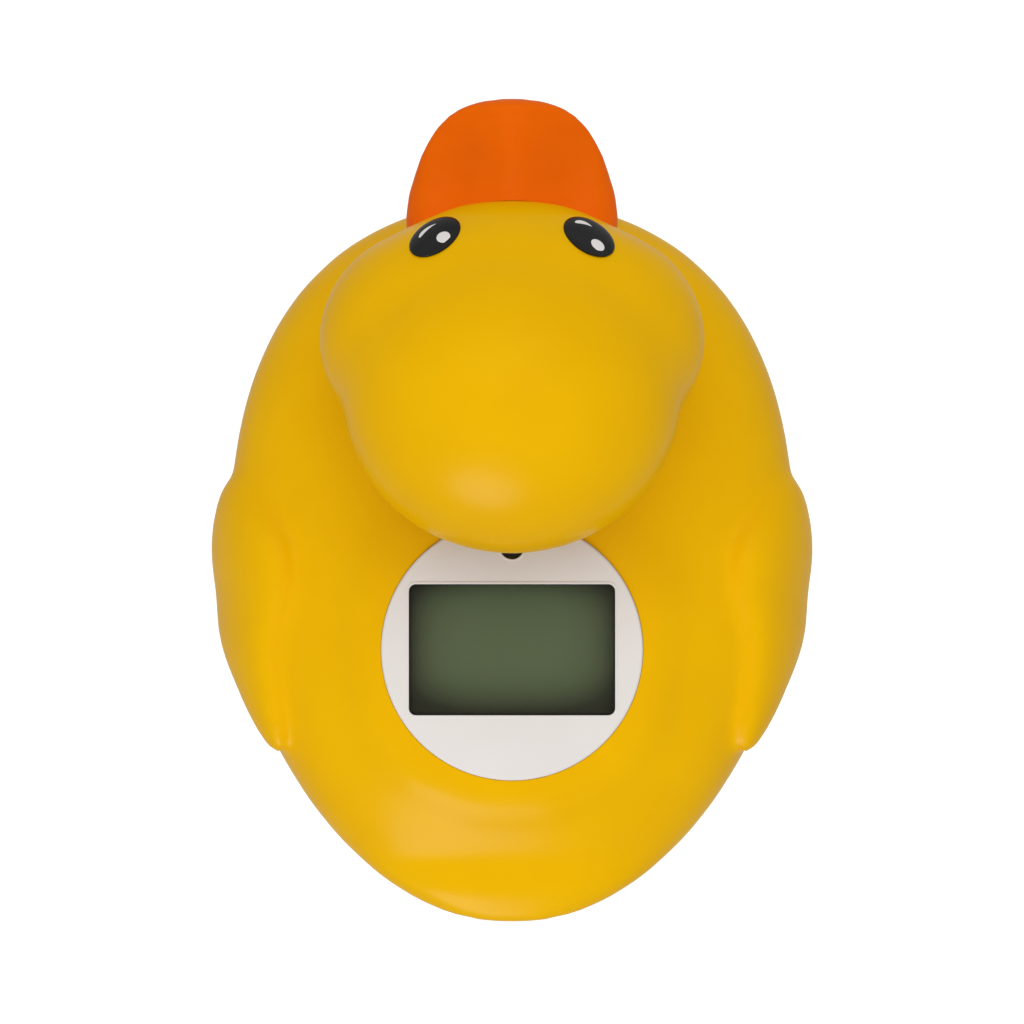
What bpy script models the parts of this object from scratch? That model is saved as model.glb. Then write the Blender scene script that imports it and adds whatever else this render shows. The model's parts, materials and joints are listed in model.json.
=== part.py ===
"""Floating duck bath thermometer: hollow body, head, bill, wings, back display, battery bay and probe.

Metres, +Z up, bill towards -Y. The origin is the middle of the footprint, at the height of the table.
"""

import math

import bmesh
import bpy
from mathutils import Matrix, Vector

# Clearances and walls
SEAT_GAP = 0.0003
BODY_WALL = 0.0024
HEAD_WALL = 0.0024
OVERRUN = 0.004

# Body, as lines along Y
CHEST_Y = -0.0444
WIDEST_Y = 0.0080
TAIL_Y = 0.0553
BODY_HALF_WIDTH = 0.0399
RIM_HEIGHT = 0.0250
BACK_HEIGHT = 0.0444
CHEST_LIFT = 0.0020
CHEST_FALL = 0.0020
TAIL_LIFT = 0.0120
TAIL_SOLID = 0.0070
TAIL_DIP = 0.0052
TAIL_DIP_REACH = 0.0070
TAIL_LIP = 0.0028
TAIL_LIP_REACH = 0.0023
TAIL_END = 0.0020
KEEL_DEPTH = 0.0030
PART_LINE_DROP = 0.0055
GASKET_HEIGHT = 0.0012

# Roundness of the body's plan, of its section and of its ends
FRONT_PLAN = (2.67, 2.245)
REAR_PLAN = (1.70, 2.02)
UPPER_SQUARENESS = 2.35
LOWER_SQUARENESS = 2.5
FRONT_CLOSING = 4.5
REAR_CLOSING = 10
KEEL_CLOSING = 3.4

# Wings: lines of (share of the wing's length, share of a body size)
WING_AHEAD = 0.0142
WING_BEHIND = 0.0248
WING_TILT = math.radians(26)
WING_OUT = [(0.0, 0.937), (0.2, 0.902), (0.4, 0.887), (0.6, 0.897), (0.8, 0.865), (1.0, 0.802)]
WING_THICKNESS = [(0.0, 0.110), (0.3, 0.125), (0.6, 0.078), (0.8, 0.065), (1.0, 0.050)]
WING_UP = [(0.0, 0.284), (0.3, 0.289), (0.6, 0.309), (1.0, 0.490)]
WING_HEIGHT = [(0.0, 0.443), (0.3, 0.598), (0.6, 0.454), (0.8, 0.320), (1.0, 0.237)]

# Display
DISC_CENTRE_Y = 0.0177
DISC_PROUD = 0.0006
DISC_THICKNESS = 0.0020
DISC_EDGE_ROUND = 0.0004
DISC_MARGIN = 0.0012
COLLAR_WIDTH = 0.0012
SEAT_BLEND = 0.0085
LEDGE_THICKNESS = 0.0012
WINDOW_LENGTH = 0.0277
WINDOW_WIDTH = 0.0176
WINDOW_CORNER = 0.00095
WINDOW_PLATE = 0.0010
WINDOW_STEP = 0.0007
LENS_EDGE = 0.0031
LENS_RADIUS = 0.0021
LCD_MARGIN = 0.0016
LCD_THICKNESS = 0.0018
FRAME_WALL = 0.0012
STRIP_WIDTH = 0.0020
STRIP_HEIGHT = 0.0018
BOARD_THICKNESS = 0.0016
BOARD_MARGIN = 0.0019
BOARD_CORNER = 0.0020
BLOB_RADIUS = 0.0045
BLOB_HEIGHT = 0.0015
LED_RADIUS = 0.0015

DISC_RADIUS = math.hypot(WINDOW_LENGTH, WINDOW_WIDTH) / 2 + DISC_MARGIN
DISC_TOP = BACK_HEIGHT + DISC_PROUD
LENS_Y = DISC_CENTRE_Y - DISC_RADIUS + LENS_EDGE

# Head and neck: rises are above the neck's seat, and places are ahead of the neck's middle
NECK_HALF_WIDTH = 0.0165
NECK_HALF_LENGTH = 0.0170
NECK_TO_DISC = 0.0015
NECK_STEP = 0.0008
NECK_FLARE = 0.0030
NECK_BLEND = 0.0065
NECK_ROOT_DEPTH = 0.0080
SPIGOT_HEIGHT = 0.0034
SPIGOT_WALL = 0.0018
NECK_REBATE = 0.0006
CORE_RISE = 0.0148
CHEEK_RISE = 0.0118
CHEEK_AHEAD = 0.0055
CROWN_RISE = 0.0158
CROWN_BEHIND = 0.0026
CHEEK_REACH = Vector((0.0249, 0.0174, 0.0165))
CROWN_REACH = Vector((0.02285, 0.02015, 0.0175))
HEAD_BLEND = 14

NECK_CENTRE_Y = DISC_CENTRE_Y - DISC_RADIUS - NECK_TO_DISC - NECK_HALF_LENGTH
NECK_SEAT_HEIGHT = BACK_HEIGHT + NECK_STEP
HEAD_CORE = Vector((0.0, NECK_CENTRE_Y, NECK_SEAT_HEIGHT + CORE_RISE))
CHEEK_CENTRE = Vector((0.0, NECK_CENTRE_Y - CHEEK_AHEAD, NECK_SEAT_HEIGHT + CHEEK_RISE))
CROWN_CENTRE = Vector((0.0, NECK_CENTRE_Y + CROWN_BEHIND, NECK_SEAT_HEIGHT + CROWN_RISE))

# Bill, from the cheeks' middle and the neck's seat
BILL_ROOT_AHEAD = 0.0141
BILL_REACH = 0.0170
BILL_RISE = 0.0070
BILL_HALF_WIDTH = 0.0140
BILL_HALF_THICKNESS = 0.0054
BILL_TIP_SHARE = 0.56
BILL_TIP_LIFT = 0.0024
BILL_SQUARENESS = 2.35
BILL_EDGE = (4.0, 2.2)
RIDGE_RISE = 0.0011
RIDGE_HALF_WIDTH = 0.0042
FLANK_DEPTH = 0.0007
FLANK_SIDE = 0.0078
FLANK_HALF_WIDTH = 0.0032
BILL_SADDLE = 0.0020
BILL_TENON_WIDTH = 0.0130
BILL_TENON_HEIGHT = 0.0036
BILL_TENON_LENGTH = 0.0070
MOUTH_GROOVE = 0.0006
MOUTH_DEPTH = 0.0010

BILL_ROOT_Y = CHEEK_CENTRE.y - BILL_ROOT_AHEAD
BILL_HEIGHT = NECK_SEAT_HEIGHT + BILL_RISE

# Eyes
EYE_SIDE = 0.0100
EYE_AHEAD = 0.0117
EYE_HALF_WIDTH = 0.00342
EYE_HALF_HEIGHT = 0.00395
EYE_TILT = math.radians(26)
EYE_DEPTH = 0.0011

# Screws
SHELL_SCREW_RADIUS = 0.0013
SHELL_SCREW_LENGTH = 0.0095
SHELL_SCREW_HEAD = 0.0024
SHELL_SCREW_INSET = 0.0139
SHELL_SCREW_AHEAD = 0.0240
SHELL_SCREW_BEHIND = 0.0170
SHELL_SCREW_TIP_ROOM = 0.0020
PILLAR_WALL = 0.0016
PILLAR_TOP = 0.0125
SCREW_FLOOR = 0.0075
BOARD_SCREW_RADIUS = 0.0009
BOARD_SCREW_LENGTH = 0.0050
BOARD_SCREW_HEAD = 0.0017
BOARD_SCREW_INSET = 0.0028

# Battery bay, under the widest station
CELL_RADIUS = 0.0058
CELL_HEIGHT = 0.0054
CELL_CENTRE_Y = WIDEST_Y
CELL_GAP = 0.0012
CELL_EDGE_ROUND = 0.0004
BAY_WALL = 0.0014
DOOR_THICKNESS = 0.0016
DOOR_RECESS = 0.0006
DOOR_LAP = 0.0030
DOOR_CORNER = 0.0018
DOOR_TAB = 0.0046
DOOR_TAB_SINK = 0.0004
DOOR_SCREW_RADIUS = 0.0010
DOOR_SCREW_LENGTH = 0.0050
DOOR_SCREW_HEAD = 0.0018
DOOR_SCREW_SEAT = 0.0004
SEAL_WIDTH = 0.0010
SEAL_HEIGHT = 0.0007
CONTACT_THICKNESS = 0.0004

# Probe, water contacts and leads
PROBE_AHEAD = 0.0220
PROBE_RADIUS = 0.0035
PROBE_FLANGE = 0.0012
PROBE_HEIGHT = 0.0070
PROBE_WALL = 0.0005
PIN_RADIUS = 0.0010
PIN_SIDE = 0.0100
PIN_LENGTH = 0.0055
PIN_HEAD = 0.0006
LEAD_RADIUS = 0.0005
LEAD_INSET = 0.0026
LEAD_SHIFT = 0.0020
LEAD_LINE = [(0.0, 0.0), (0.15, 0.0), (0.35, 0.14), (0.55, 0.5), (0.75, 0.86), (0.9, 1.0), (1.0, 1.0)]

RING_STEPS = 12
DISC_STEPS = 32
POST_STEPS = 8
OUTLINE_STEPS = 16
SKIN_STEPS = (30, 22)
HOLLOW_STEPS = (18, 12)
HEAD_STEPS = (30, 18)


def clear_scene():
    for obj in list(bpy.data.objects):
        bpy.data.objects.remove(obj, do_unlink=True)


def make_collection(name):
    collection = bpy.data.collections.new(name)
    bpy.context.scene.collection.children.link(collection)
    return collection


clear_scene()
DUCK = make_collection("bath_thermometer")
CUTTERS = make_collection("cutters")
CUTTERS.hide_render = True


def make_material(name, colour, roughness, metallic=0.0, transmission=0.0):
    material = bpy.data.materials.new(name)
    material.use_nodes = True
    shader = material.node_tree.nodes["Principled BSDF"]
    shader.inputs["Base Color"].default_value = (*colour, 1.0)
    shader.inputs["Roughness"].default_value = roughness
    shader.inputs["Metallic"].default_value = metallic
    shader.inputs["Transmission Weight"].default_value = transmission
    return material


YELLOW = make_material("yellow_plastic", (0.78, 0.39, 0.0), 0.30)
ORANGE = make_material("orange_plastic", (0.80, 0.11, 0.0), 0.32)
WHITE = make_material("white_plastic", (0.72, 0.70, 0.69), 0.35)
BLACK = make_material("black_plastic", (0.02, 0.02, 0.02), 0.30)
CLEAR = make_material("clear_plastic", (0.9, 0.95, 0.9), 0.05, transmission=0.9)
OLIVE = make_material("lcd_glass", (0.09, 0.12, 0.06), 0.20)
GREEN = make_material("board_green", (0.02, 0.14, 0.05), 0.50)
RUBBER = make_material("black_rubber", (0.03, 0.03, 0.03), 0.80)
STEEL = make_material("bright_steel", (0.62, 0.62, 0.62), 0.25, metallic=1.0)
BRASS = make_material("contact_metal", (0.75, 0.66, 0.42), 0.30, metallic=1.0)
RED = make_material("red_lens", (0.35, 0.02, 0.02), 0.20)


def add_object(name, mesh, material=None, helper=False):
    """Links a mesh as a named part, or as a hidden helper."""
    obj = bpy.data.objects.new(name, mesh)
    (CUTTERS if helper else DUCK).objects.link(obj)
    if material:
        mesh.materials.append(material)
    if helper:
        obj.hide_render = True
        obj.display_type = "WIRE"
    mesh.shade_smooth()
    mesh.set_sharp_from_angle(angle=math.radians(35))
    return obj


def finish_mesh(name, shape):
    mesh = bpy.data.meshes.new(name)
    bmesh.ops.recalc_face_normals(shape, faces=shape.faces)
    shape.to_mesh(mesh)
    shape.free()
    return mesh


def combine(target, tool, operation):
    """A live exact Boolean of target with tool."""
    modifier = target.modifiers.new(tool.name, "BOOLEAN")
    modifier.operation = operation
    modifier.object = tool
    modifier.solver = "EXACT"


def cut(target, *tools):
    for tool in tools:
        combine(target, tool, "DIFFERENCE")


def join(target, *tools):
    for tool in tools:
        combine(target, tool, "UNION")


def mapped_sphere(name, around, along, place):
    """A UV sphere with its poles on Y whose points are moved by place(across, along, up)."""
    shape = bmesh.new()
    bmesh.ops.create_uvsphere(shape, u_segments=around, v_segments=along, radius=1.0)
    for point in shape.verts:
        x, y, z = point.co
        point.co = place(x, z, -y)
    return finish_mesh(name, shape)


def rod(name, radius, low, high, centre=(0.0, 0.0), steps=RING_STEPS, turn=0.0, **kind):
    """An upright cylinder from height low to high, its corners turned by a share of a step."""
    shape = bmesh.new()
    place = Matrix.Translation((*centre, (low + high) / 2)) @ Matrix.Rotation(math.tau * turn / steps, 4, "Z")
    bmesh.ops.create_cone(
        shape, cap_ends=True, segments=steps, radius1=radius, radius2=radius, depth=high - low, matrix=place,
    )
    return add_object(name, finish_mesh(name, shape), **kind)


def block(name, size, centre, **kind):
    shape = bmesh.new()
    bmesh.ops.create_cube(shape, size=1.0, matrix=Matrix.Translation(centre) @ Matrix.Diagonal((*size, 1.0)))
    return add_object(name, finish_mesh(name, shape), **kind)


def rounded_outline(length, width, corner, steps=4):
    """Points round a rectangle with round corners, centred on the origin."""
    points = []
    for turn in range(4):
        sign_x = (1, -1, -1, 1)[turn]
        sign_y = (1, 1, -1, -1)[turn]
        for step in range(steps + 1):
            angle = math.radians(90) * (turn + step / steps)
            x = sign_x * (length / 2 - corner) + corner * math.cos(angle)
            y = sign_y * (width / 2 - corner) + corner * math.sin(angle)
            points.append((x, y))
    return points


def plate(name, outline, low, high, centre=(0.0, 0.0), **kind):
    """A flat outline raised from height low to high."""
    shape = bmesh.new()
    ring = [shape.verts.new((x + centre[0], y + centre[1], low)) for x, y in outline]
    base = shape.faces.new(ring)
    raised = bmesh.ops.extrude_face_region(shape, geom=[base])
    tops = [item for item in raised["geom"] if isinstance(item, bmesh.types.BMVert)]
    bmesh.ops.translate(shape, verts=tops, vec=(0.0, 0.0, high - low))
    return add_object(name, finish_mesh(name, shape), **kind)


def turned(name, profile, centre, steps=RING_STEPS, **kind):
    """A profile of (radius, height) points, outer side top to bottom, turned about a vertical axis."""
    shape = bmesh.new()
    points = [shape.verts.new((radius, 0.0, height)) for radius, height in profile]
    edges = [shape.edges.new(pair) for pair in zip(points, points[1:])]
    bmesh.ops.spin(
        shape, geom=points + edges, axis=(0, 0, 1), cent=(0, 0, 0), angle=math.tau, steps=steps,
        use_merge=True, use_duplicate=False,
    )
    bmesh.ops.remove_doubles(shape, verts=shape.verts, dist=0.000001)
    bmesh.ops.translate(shape, verts=shape.verts, vec=(*centre, 0.0))
    return add_object(name, finish_mesh(name, shape), **kind)


def smooth_line(points, y):
    """Height or width at y on a smooth line through the given (y, value) points."""
    if y <= points[0][0]:
        return points[0][1]
    if y >= points[-1][0]:
        return points[-1][1]
    last = len(points) - 1
    index = max(i for i in range(last) if points[i][0] <= y)
    y0, v0 = points[max(index - 1, 0)]
    y1, v1 = points[index]
    y2, v2 = points[index + 1]
    y3, v3 = points[min(index + 2, last)]
    span = y2 - y1
    share = (y - y1) / span
    slope1 = (v2 - v0) / (y2 - y0) * span
    slope2 = (v3 - v1) / (y3 - y1) * span
    a = 2 * v1 - 2 * v2 + slope1 + slope2
    b = -3 * v1 + 3 * v2 - 2 * slope1 - slope2
    return ((a * share + b) * share + slope1) * share + v1


def bend(value, power):
    """value raised to power with its sign kept."""
    return math.copysign(abs(value) ** power, value)


def body_share(y):
    """How far y lies from the widest station, 1 at the chest or the tail."""
    reach = TAIL_Y - WIDEST_Y if y > WIDEST_Y else WIDEST_Y - CHEST_Y
    return min(abs(y - WIDEST_Y) / reach, 1.0)


def body_half_width(y):
    end, side = REAR_PLAN if y > WIDEST_Y else FRONT_PLAN
    return BODY_HALF_WIDTH * (1 - body_share(y) ** end) ** (1 / side)


def rim_height(y):
    """Height of the widest line, which lifts towards the chest and more towards the tail."""
    share = body_share(y)
    if y > WIDEST_Y:
        return RIM_HEIGHT + TAIL_LIFT * share ** 4
    return RIM_HEIGHT + CHEST_LIFT * share ** 2


def body_rise(y):
    """Height of the back above the widest line."""
    back = smooth_line([
        (CHEST_Y, BACK_HEIGHT - CHEST_FALL),
        (NECK_CENTRE_Y, BACK_HEIGHT),
        (DISC_CENTRE_Y + DISC_RADIUS, BACK_HEIGHT),
        (TAIL_Y - TAIL_DIP_REACH, BACK_HEIGHT - TAIL_DIP),
        (TAIL_Y - TAIL_LIP_REACH, BACK_HEIGHT - TAIL_LIP),
        (TAIL_Y, BACK_HEIGHT - TAIL_END),
    ], y)
    closing = REAR_CLOSING if y > WIDEST_Y else FRONT_CLOSING
    return (back - rim_height(y)) * (1 - body_share(y) ** closing) ** 0.5


def body_drop(y):
    """Depth of the keel line below the widest line."""
    length = TAIL_Y - CHEST_Y
    keel = smooth_line([
        (CHEST_Y, RIM_HEIGHT * 0.40),
        (CHEST_Y + length * 0.18, -KEEL_DEPTH * 0.6),
        (WIDEST_Y, -KEEL_DEPTH),
        (CHEST_Y + length * 0.74, -KEEL_DEPTH * 0.3),
        (CHEST_Y + length * 0.90, RIM_HEIGHT * 0.44),
        (TAIL_Y, RIM_HEIGHT * 1.04),
    ], y)
    return (rim_height(y) - keel) * (1 - body_share(y) ** KEEL_CLOSING) ** 0.5


def ease(away):
    """1 at a rim and inside it, falling smoothly to 0 where away is 1."""
    share = min(max(1 - away, 0.0), 1.0)
    return share * share * (3 - 2 * share)


def seat_lift(x, y, height):
    """How far the back swells up to meet the display's rim and the neck at a point of the plan."""
    disc = (math.hypot(x, y - DISC_CENTRE_Y) - DISC_RADIUS - COLLAR_WIDTH) / SEAT_BLEND
    oval = math.hypot(x / NECK_HALF_WIDTH, (y - NECK_CENTRE_Y) / NECK_HALF_LENGTH)
    neck = (oval - 1) * NECK_HALF_WIDTH / NECK_BLEND
    return max(BACK_HEIGHT - height, 0.0) * max(ease(disc), ease(neck))


def body_form(name, inset, around, along):
    """The closed body, or the same form drawn in by inset."""
    front = CHEST_Y + inset
    rear = TAIL_Y - (max(inset, TAIL_SOLID) if inset else 0.0)

    def place(across, lengthwise, up):
        end = rear if lengthwise > 0 else front
        share = abs(lengthwise)
        y = WIDEST_Y + (end - WIDEST_Y) * share
        ring = math.hypot(across, up) or 1.0
        closing = (1 - min(share, 1.0) ** 12) ** 0.5 if inset else 1.0
        squareness = UPPER_SQUARENESS if up > 0 else LOWER_SQUARENESS
        side = bend(across / ring, 2 / squareness)
        height = bend(up / ring, 2 / squareness)
        reach = body_rise(y) if up > 0 else body_drop(y)
        x = side * (body_half_width(y) - inset) * closing
        z = rim_height(y) + height * (reach - inset) * closing
        if up > 0:
            z += seat_lift(x, y, z + inset)
        return x, y, z

    return mapped_sphere(name, around, along, place)


def wing_form(name, side):
    """One wing: a leaf that swells at the shoulder and sweeps to a lifted tip."""
    depth = BACK_HEIGHT - RIM_HEIGHT

    def place(across, lengthwise, up):
        along = (1 + lengthwise) / 2
        y = WIDEST_Y - WING_AHEAD + along * (WING_AHEAD + WING_BEHIND)
        ring = math.hypot(across, up) or 1.0
        end = max(1 - abs(lengthwise) ** 3.6, 0.0) ** 0.45
        out = bend(across / ring, 0.85) * smooth_line(WING_THICKNESS, along) * BODY_HALF_WIDTH * end
        rise = bend(up / ring, 0.85) * smooth_line(WING_HEIGHT, along) * depth * end
        middle_x = smooth_line(WING_OUT, along) * BODY_HALF_WIDTH
        middle_z = RIM_HEIGHT + smooth_line(WING_UP, along) * depth
        x = middle_x + out * math.cos(WING_TILT) - rise * math.sin(WING_TILT)
        return side * x, y, middle_z + out * math.sin(WING_TILT) + rise * math.cos(WING_TILT)

    return mapped_sphere(name, 12, 14, place)


def ellipsoid_distance(direction, centre, reach):
    """Distance from the head's core along direction to an ellipsoid around it."""
    start = HEAD_CORE - centre
    a = sum((direction[i] / reach[i]) ** 2 for i in range(3))
    b = sum(direction[i] * start[i] / reach[i] ** 2 for i in range(3))
    c = sum((start[i] / reach[i]) ** 2 for i in range(3)) - 1
    return (-b + math.sqrt(b * b - a * c)) / a


def neck_distance(direction, inset):
    """Distance from the head's core to the neck, an oval column, cut off well below the seat."""
    lean = math.hypot(direction.x / (NECK_HALF_WIDTH - inset), direction.y / (NECK_HALF_LENGTH - inset))
    fall = max(-direction.z, 0.001) / (CORE_RISE + OVERRUN)
    return (lean ** HEAD_BLEND + fall ** HEAD_BLEND) ** (-1 / HEAD_BLEND)


def head_distance(direction, inset):
    """Distance from the head's core to the skin: cheeks, crown and neck run into each other."""
    step = Vector((inset, inset, inset))
    cheek = ellipsoid_distance(direction, CHEEK_CENTRE, CHEEK_REACH - step)
    crown = ellipsoid_distance(direction, CROWN_CENTRE, CROWN_REACH - step)
    neck = neck_distance(direction, inset) if direction.z < 0 else 0.0
    return (cheek ** HEAD_BLEND + crown ** HEAD_BLEND + neck ** HEAD_BLEND) ** (1 / HEAD_BLEND)


def head_form(name, inset, around, along):
    shape = bmesh.new()
    bmesh.ops.create_uvsphere(shape, u_segments=around, v_segments=along, radius=1.0)
    for point in shape.verts:
        direction = point.co.normalized()
        point.co = HEAD_CORE + direction * head_distance(direction, inset)
    return finish_mesh(name, shape)


def head_surface(x, y):
    """The point and outward direction of the head's skin above a point of the plan."""
    low, high = 0.02, 1.6
    aim = Vector((x - HEAD_CORE.x, y - HEAD_CORE.y, 0.0))
    for _ in range(40):
        tilt = (low + high) / 2
        direction = (aim.normalized() * math.cos(tilt) + Vector((0, 0, math.sin(tilt)))).normalized()
        reach = head_distance(direction, 0.0) * math.cos(tilt)
        if reach > aim.length:
            low = tilt
        else:
            high = tilt
    point = HEAD_CORE + direction * head_distance(direction, 0.0)
    return point, direction


def head_normal(direction):
    """Outward normal of the head's skin in a given direction from the core."""
    side = direction.cross(Vector((0, 0, 1))).normalized()
    upward = side.cross(direction).normalized()
    corners = []
    for u, v in ((0.03, 0.0), (-0.03, 0.0), (0.0, 0.03), (0.0, -0.03)):
        ray = (direction + side * u + upward * v).normalized()
        corners.append(ray * head_distance(ray, 0.0))
    normal = (corners[0] - corners[1]).cross(corners[2] - corners[3]).normalized()
    return normal if normal.dot(direction) > 0 else -normal


def below(name, height):
    """A helper that fills everything under a height."""
    return block(name, (0.2, 0.2, 0.2), (0.0, 0.0, height - 0.1), helper=True)


def above(name, height):
    return block(name, (0.2, 0.2, 0.2), (0.0, 0.0, height + 0.1), helper=True)


PART_LINE_HEIGHT = RIM_HEIGHT - PART_LINE_DROP
POCKET_FLOOR = DISC_TOP - DISC_THICKNESS - SEAT_GAP
LEDGE_BOTTOM = POCKET_FLOOR - LEDGE_THICKNESS
LCD_TOP = LEDGE_BOTTOM - SEAT_GAP
LCD_BOTTOM = LCD_TOP - LCD_THICKNESS
LCD_LENGTH = WINDOW_LENGTH + 2 * LCD_MARGIN
LCD_WIDTH = WINDOW_WIDTH + 2 * LCD_MARGIN
FRAME_LENGTH = LCD_LENGTH + 2 * (SEAT_GAP + FRAME_WALL)
FRAME_WIDTH = LCD_WIDTH + 2 * (SEAT_GAP + FRAME_WALL)
BOARD_TOP = LCD_BOTTOM - 2 * SEAT_GAP - STRIP_HEIGHT
BOARD_BOTTOM = BOARD_TOP - BOARD_THICKNESS
BOARD_LENGTH = FRAME_LENGTH + 2 * (BOARD_SCREW_HEAD + 2 * SEAT_GAP + BOARD_SCREW_INSET)
BOARD_FRONT_Y = LENS_Y - LED_RADIUS - SEAT_GAP
BOARD_REAR_Y = DISC_CENTRE_Y + FRAME_WIDTH / 2 + BOARD_MARGIN
SPIGOT_INSET = HEAD_WALL - NECK_REBATE + SEAT_GAP

SCREW_SPOTS = [
    (side * (BODY_HALF_WIDTH - SHELL_SCREW_INSET), y)
    for y in (WIDEST_Y - SHELL_SCREW_AHEAD, WIDEST_Y + SHELL_SCREW_BEHIND)
    for side in (1, -1)
]
BOARD_SPOTS = [
    (side * (BOARD_LENGTH / 2 - BOARD_SCREW_INSET), y)
    for y in (BOARD_REAR_Y - BOARD_SCREW_INSET, BOARD_FRONT_Y + BOARD_SCREW_INSET)
    for side in (1, -1)
]


def make_upper_shell():
    shell = add_object("upper_shell", body_form("upper_shell", 0.0, *SKIN_STEPS), YELLOW)
    for side, word in ((1, "left"), (-1, "right")):
        join(shell, add_object(f"wing_{word}", wing_form(f"wing_{word}", side), helper=True))
    collar_radius = DISC_RADIUS + SEAT_GAP + COLLAR_WIDTH
    join(shell, rod("collar", collar_radius, POCKET_FLOOR - LEDGE_THICKNESS, BACK_HEIGHT + SEAT_GAP,
                    (0.0, DISC_CENTRE_Y), DISC_STEPS, turn=0.5, helper=True))
    seat = oval_rod("neck_seat", 0.0, BACK_HEIGHT - NECK_ROOT_DEPTH, NECK_SEAT_HEIGHT - SEAT_GAP, -NECK_FLARE)
    spigot = oval_rod("neck_spigot", SPIGOT_INSET, BACK_HEIGHT - BODY_WALL,
                      NECK_SEAT_HEIGHT + SPIGOT_HEIGHT)
    join(shell, seat, spigot)
    hollow = add_object("upper_hollow", body_form("upper_hollow", BODY_WALL, *HOLLOW_STEPS), helper=True)
    cavity = (FRAME_LENGTH + 2 * SEAT_GAP, FRAME_WIDTH + 2 * SEAT_GAP, 2 * OVERRUN)
    join(hollow, block("frame_cavity", cavity, (0.0, DISC_CENTRE_Y, LEDGE_BOTTOM), helper=True))
    cut(hollow, above("hollow_roof", LEDGE_BOTTOM))
    cut(shell, hollow)
    cut(shell, oval_rod("spigot_bore", SPIGOT_INSET + SPIGOT_WALL, NECK_SEAT_HEIGHT,
                        NECK_SEAT_HEIGHT + SPIGOT_HEIGHT + OVERRUN))
    cut(shell, below("upper_trim", PART_LINE_HEIGHT + SEAT_GAP / 2))
    cut(shell, rod("disc_pocket", DISC_RADIUS + SEAT_GAP, POCKET_FLOOR, DISC_TOP + OVERRUN,
                   (0.0, DISC_CENTRE_Y), DISC_STEPS, helper=True))
    view = rounded_outline(WINDOW_LENGTH + SEAT_GAP, WINDOW_WIDTH + SEAT_GAP, WINDOW_CORNER, 2)
    cut(shell, plate("view_opening", view, LEDGE_BOTTOM - OVERRUN, DISC_TOP, (0.0, DISC_CENTRE_Y), helper=True))
    cut(shell, rod("light_hole", LENS_RADIUS, LEDGE_BOTTOM - OVERRUN, DISC_TOP, (0.0, LENS_Y), 12, helper=True))
    inside = add_object("post_trim", body_form("post_trim", BODY_WALL / 2, *HOLLOW_STEPS), helper=True)
    for index, (x, y) in enumerate(SCREW_SPOTS, 1):
        pillar = rod(f"upper_pillar_{index}", SHELL_SCREW_RADIUS + PILLAR_WALL, PILLAR_TOP + SEAT_GAP, BACK_HEIGHT,
                     (x, y), POST_STEPS, helper=True)
        combine(pillar, inside, "INTERSECT")
        join(shell, pillar)
        cut(shell, rod(f"upper_pilot_{index}", SHELL_SCREW_RADIUS + SEAT_GAP, PILLAR_TOP - OVERRUN,
                       PILLAR_TOP + SHELL_SCREW_LENGTH, (x, y), POST_STEPS, helper=True))
    for index, (x, y) in enumerate(BOARD_SPOTS, 1):
        post = rod(f"board_post_{index}", BOARD_SCREW_HEAD + SEAT_GAP, BOARD_TOP + SEAT_GAP, BACK_HEIGHT, (x, y),
                   POST_STEPS, helper=True)
        combine(post, inside, "INTERSECT")
        join(shell, post)
        cut(shell, rod(f"board_pilot_{index}", BOARD_SCREW_RADIUS + SEAT_GAP, BOARD_BOTTOM,
                       BOARD_BOTTOM + BOARD_SCREW_LENGTH, (x, y), POST_STEPS, helper=True))
    return shell


def oval_rod(name, inset, low, high, low_inset=None):
    """An upright oval column of the neck's outline, drawn in by inset, and by low_inset at its foot."""
    shape = bmesh.new()
    bmesh.ops.create_cone(
        shape, cap_ends=True, segments=28, radius1=1.0, radius2=1.0, depth=high - low,
        matrix=Matrix.Translation((0.0, 0.0, (low + high) / 2)),
    )
    middle = (low + high) / 2
    for point in shape.verts:
        drawn = low_inset if low_inset is not None and point.co.z < middle else inset
        point.co.x *= NECK_HALF_WIDTH - drawn
        point.co.y = NECK_CENTRE_Y + point.co.y * (NECK_HALF_LENGTH - drawn)
    return add_object(name, finish_mesh(name, shape), helper=True)


def make_head_shell():
    shell = add_object("head_shell", head_form("head_shell", 0.0, *HEAD_STEPS), YELLOW)
    cut(shell, add_object("head_hollow", head_form("head_hollow", HEAD_WALL, 16, 11), helper=True))
    cut(shell, below("head_trim", NECK_SEAT_HEIGHT))
    cut(shell, oval_rod("neck_bore", HEAD_WALL - NECK_REBATE, NECK_SEAT_HEIGHT - OVERRUN,
                        NECK_SEAT_HEIGHT + SPIGOT_HEIGHT + SEAT_GAP))
    for side, word in ((1, "left"), (-1, "right")):
        cut(shell, eye_solid(f"{word}_eye_pocket", side, SEAT_GAP, EYE_DEPTH + SEAT_GAP))
    cut(shell, bill_tenon("tenon_slot", SEAT_GAP))
    return shell


def bill_plan(ring_x, ring_y, inset):
    """A point of the bill's spade outline in a direction of the plan."""
    x = bend(ring_x, 2 / BILL_SQUARENESS) * (BILL_HALF_WIDTH - inset)
    y = bend(ring_y, 2 / BILL_SQUARENESS)
    reach = BILL_REACH if y < 0 else BILL_ROOT_AHEAD
    return x, BILL_ROOT_Y + y * (reach - inset)


def bill_lift(x, out):
    """Raised middle, hollow flanks and saddle of the bill's upper side, out being 1 at the tip."""
    ridge = RIDGE_RISE * math.exp(-((x / RIDGE_HALF_WIDTH) ** 2))
    flank = FLANK_DEPTH * math.exp(-(((abs(x) - FLANK_SIDE) / FLANK_HALF_WIDTH) ** 2))
    return (ridge - flank) * (1 - out ** 3) - BILL_SADDLE * out * (1 - out)


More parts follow.
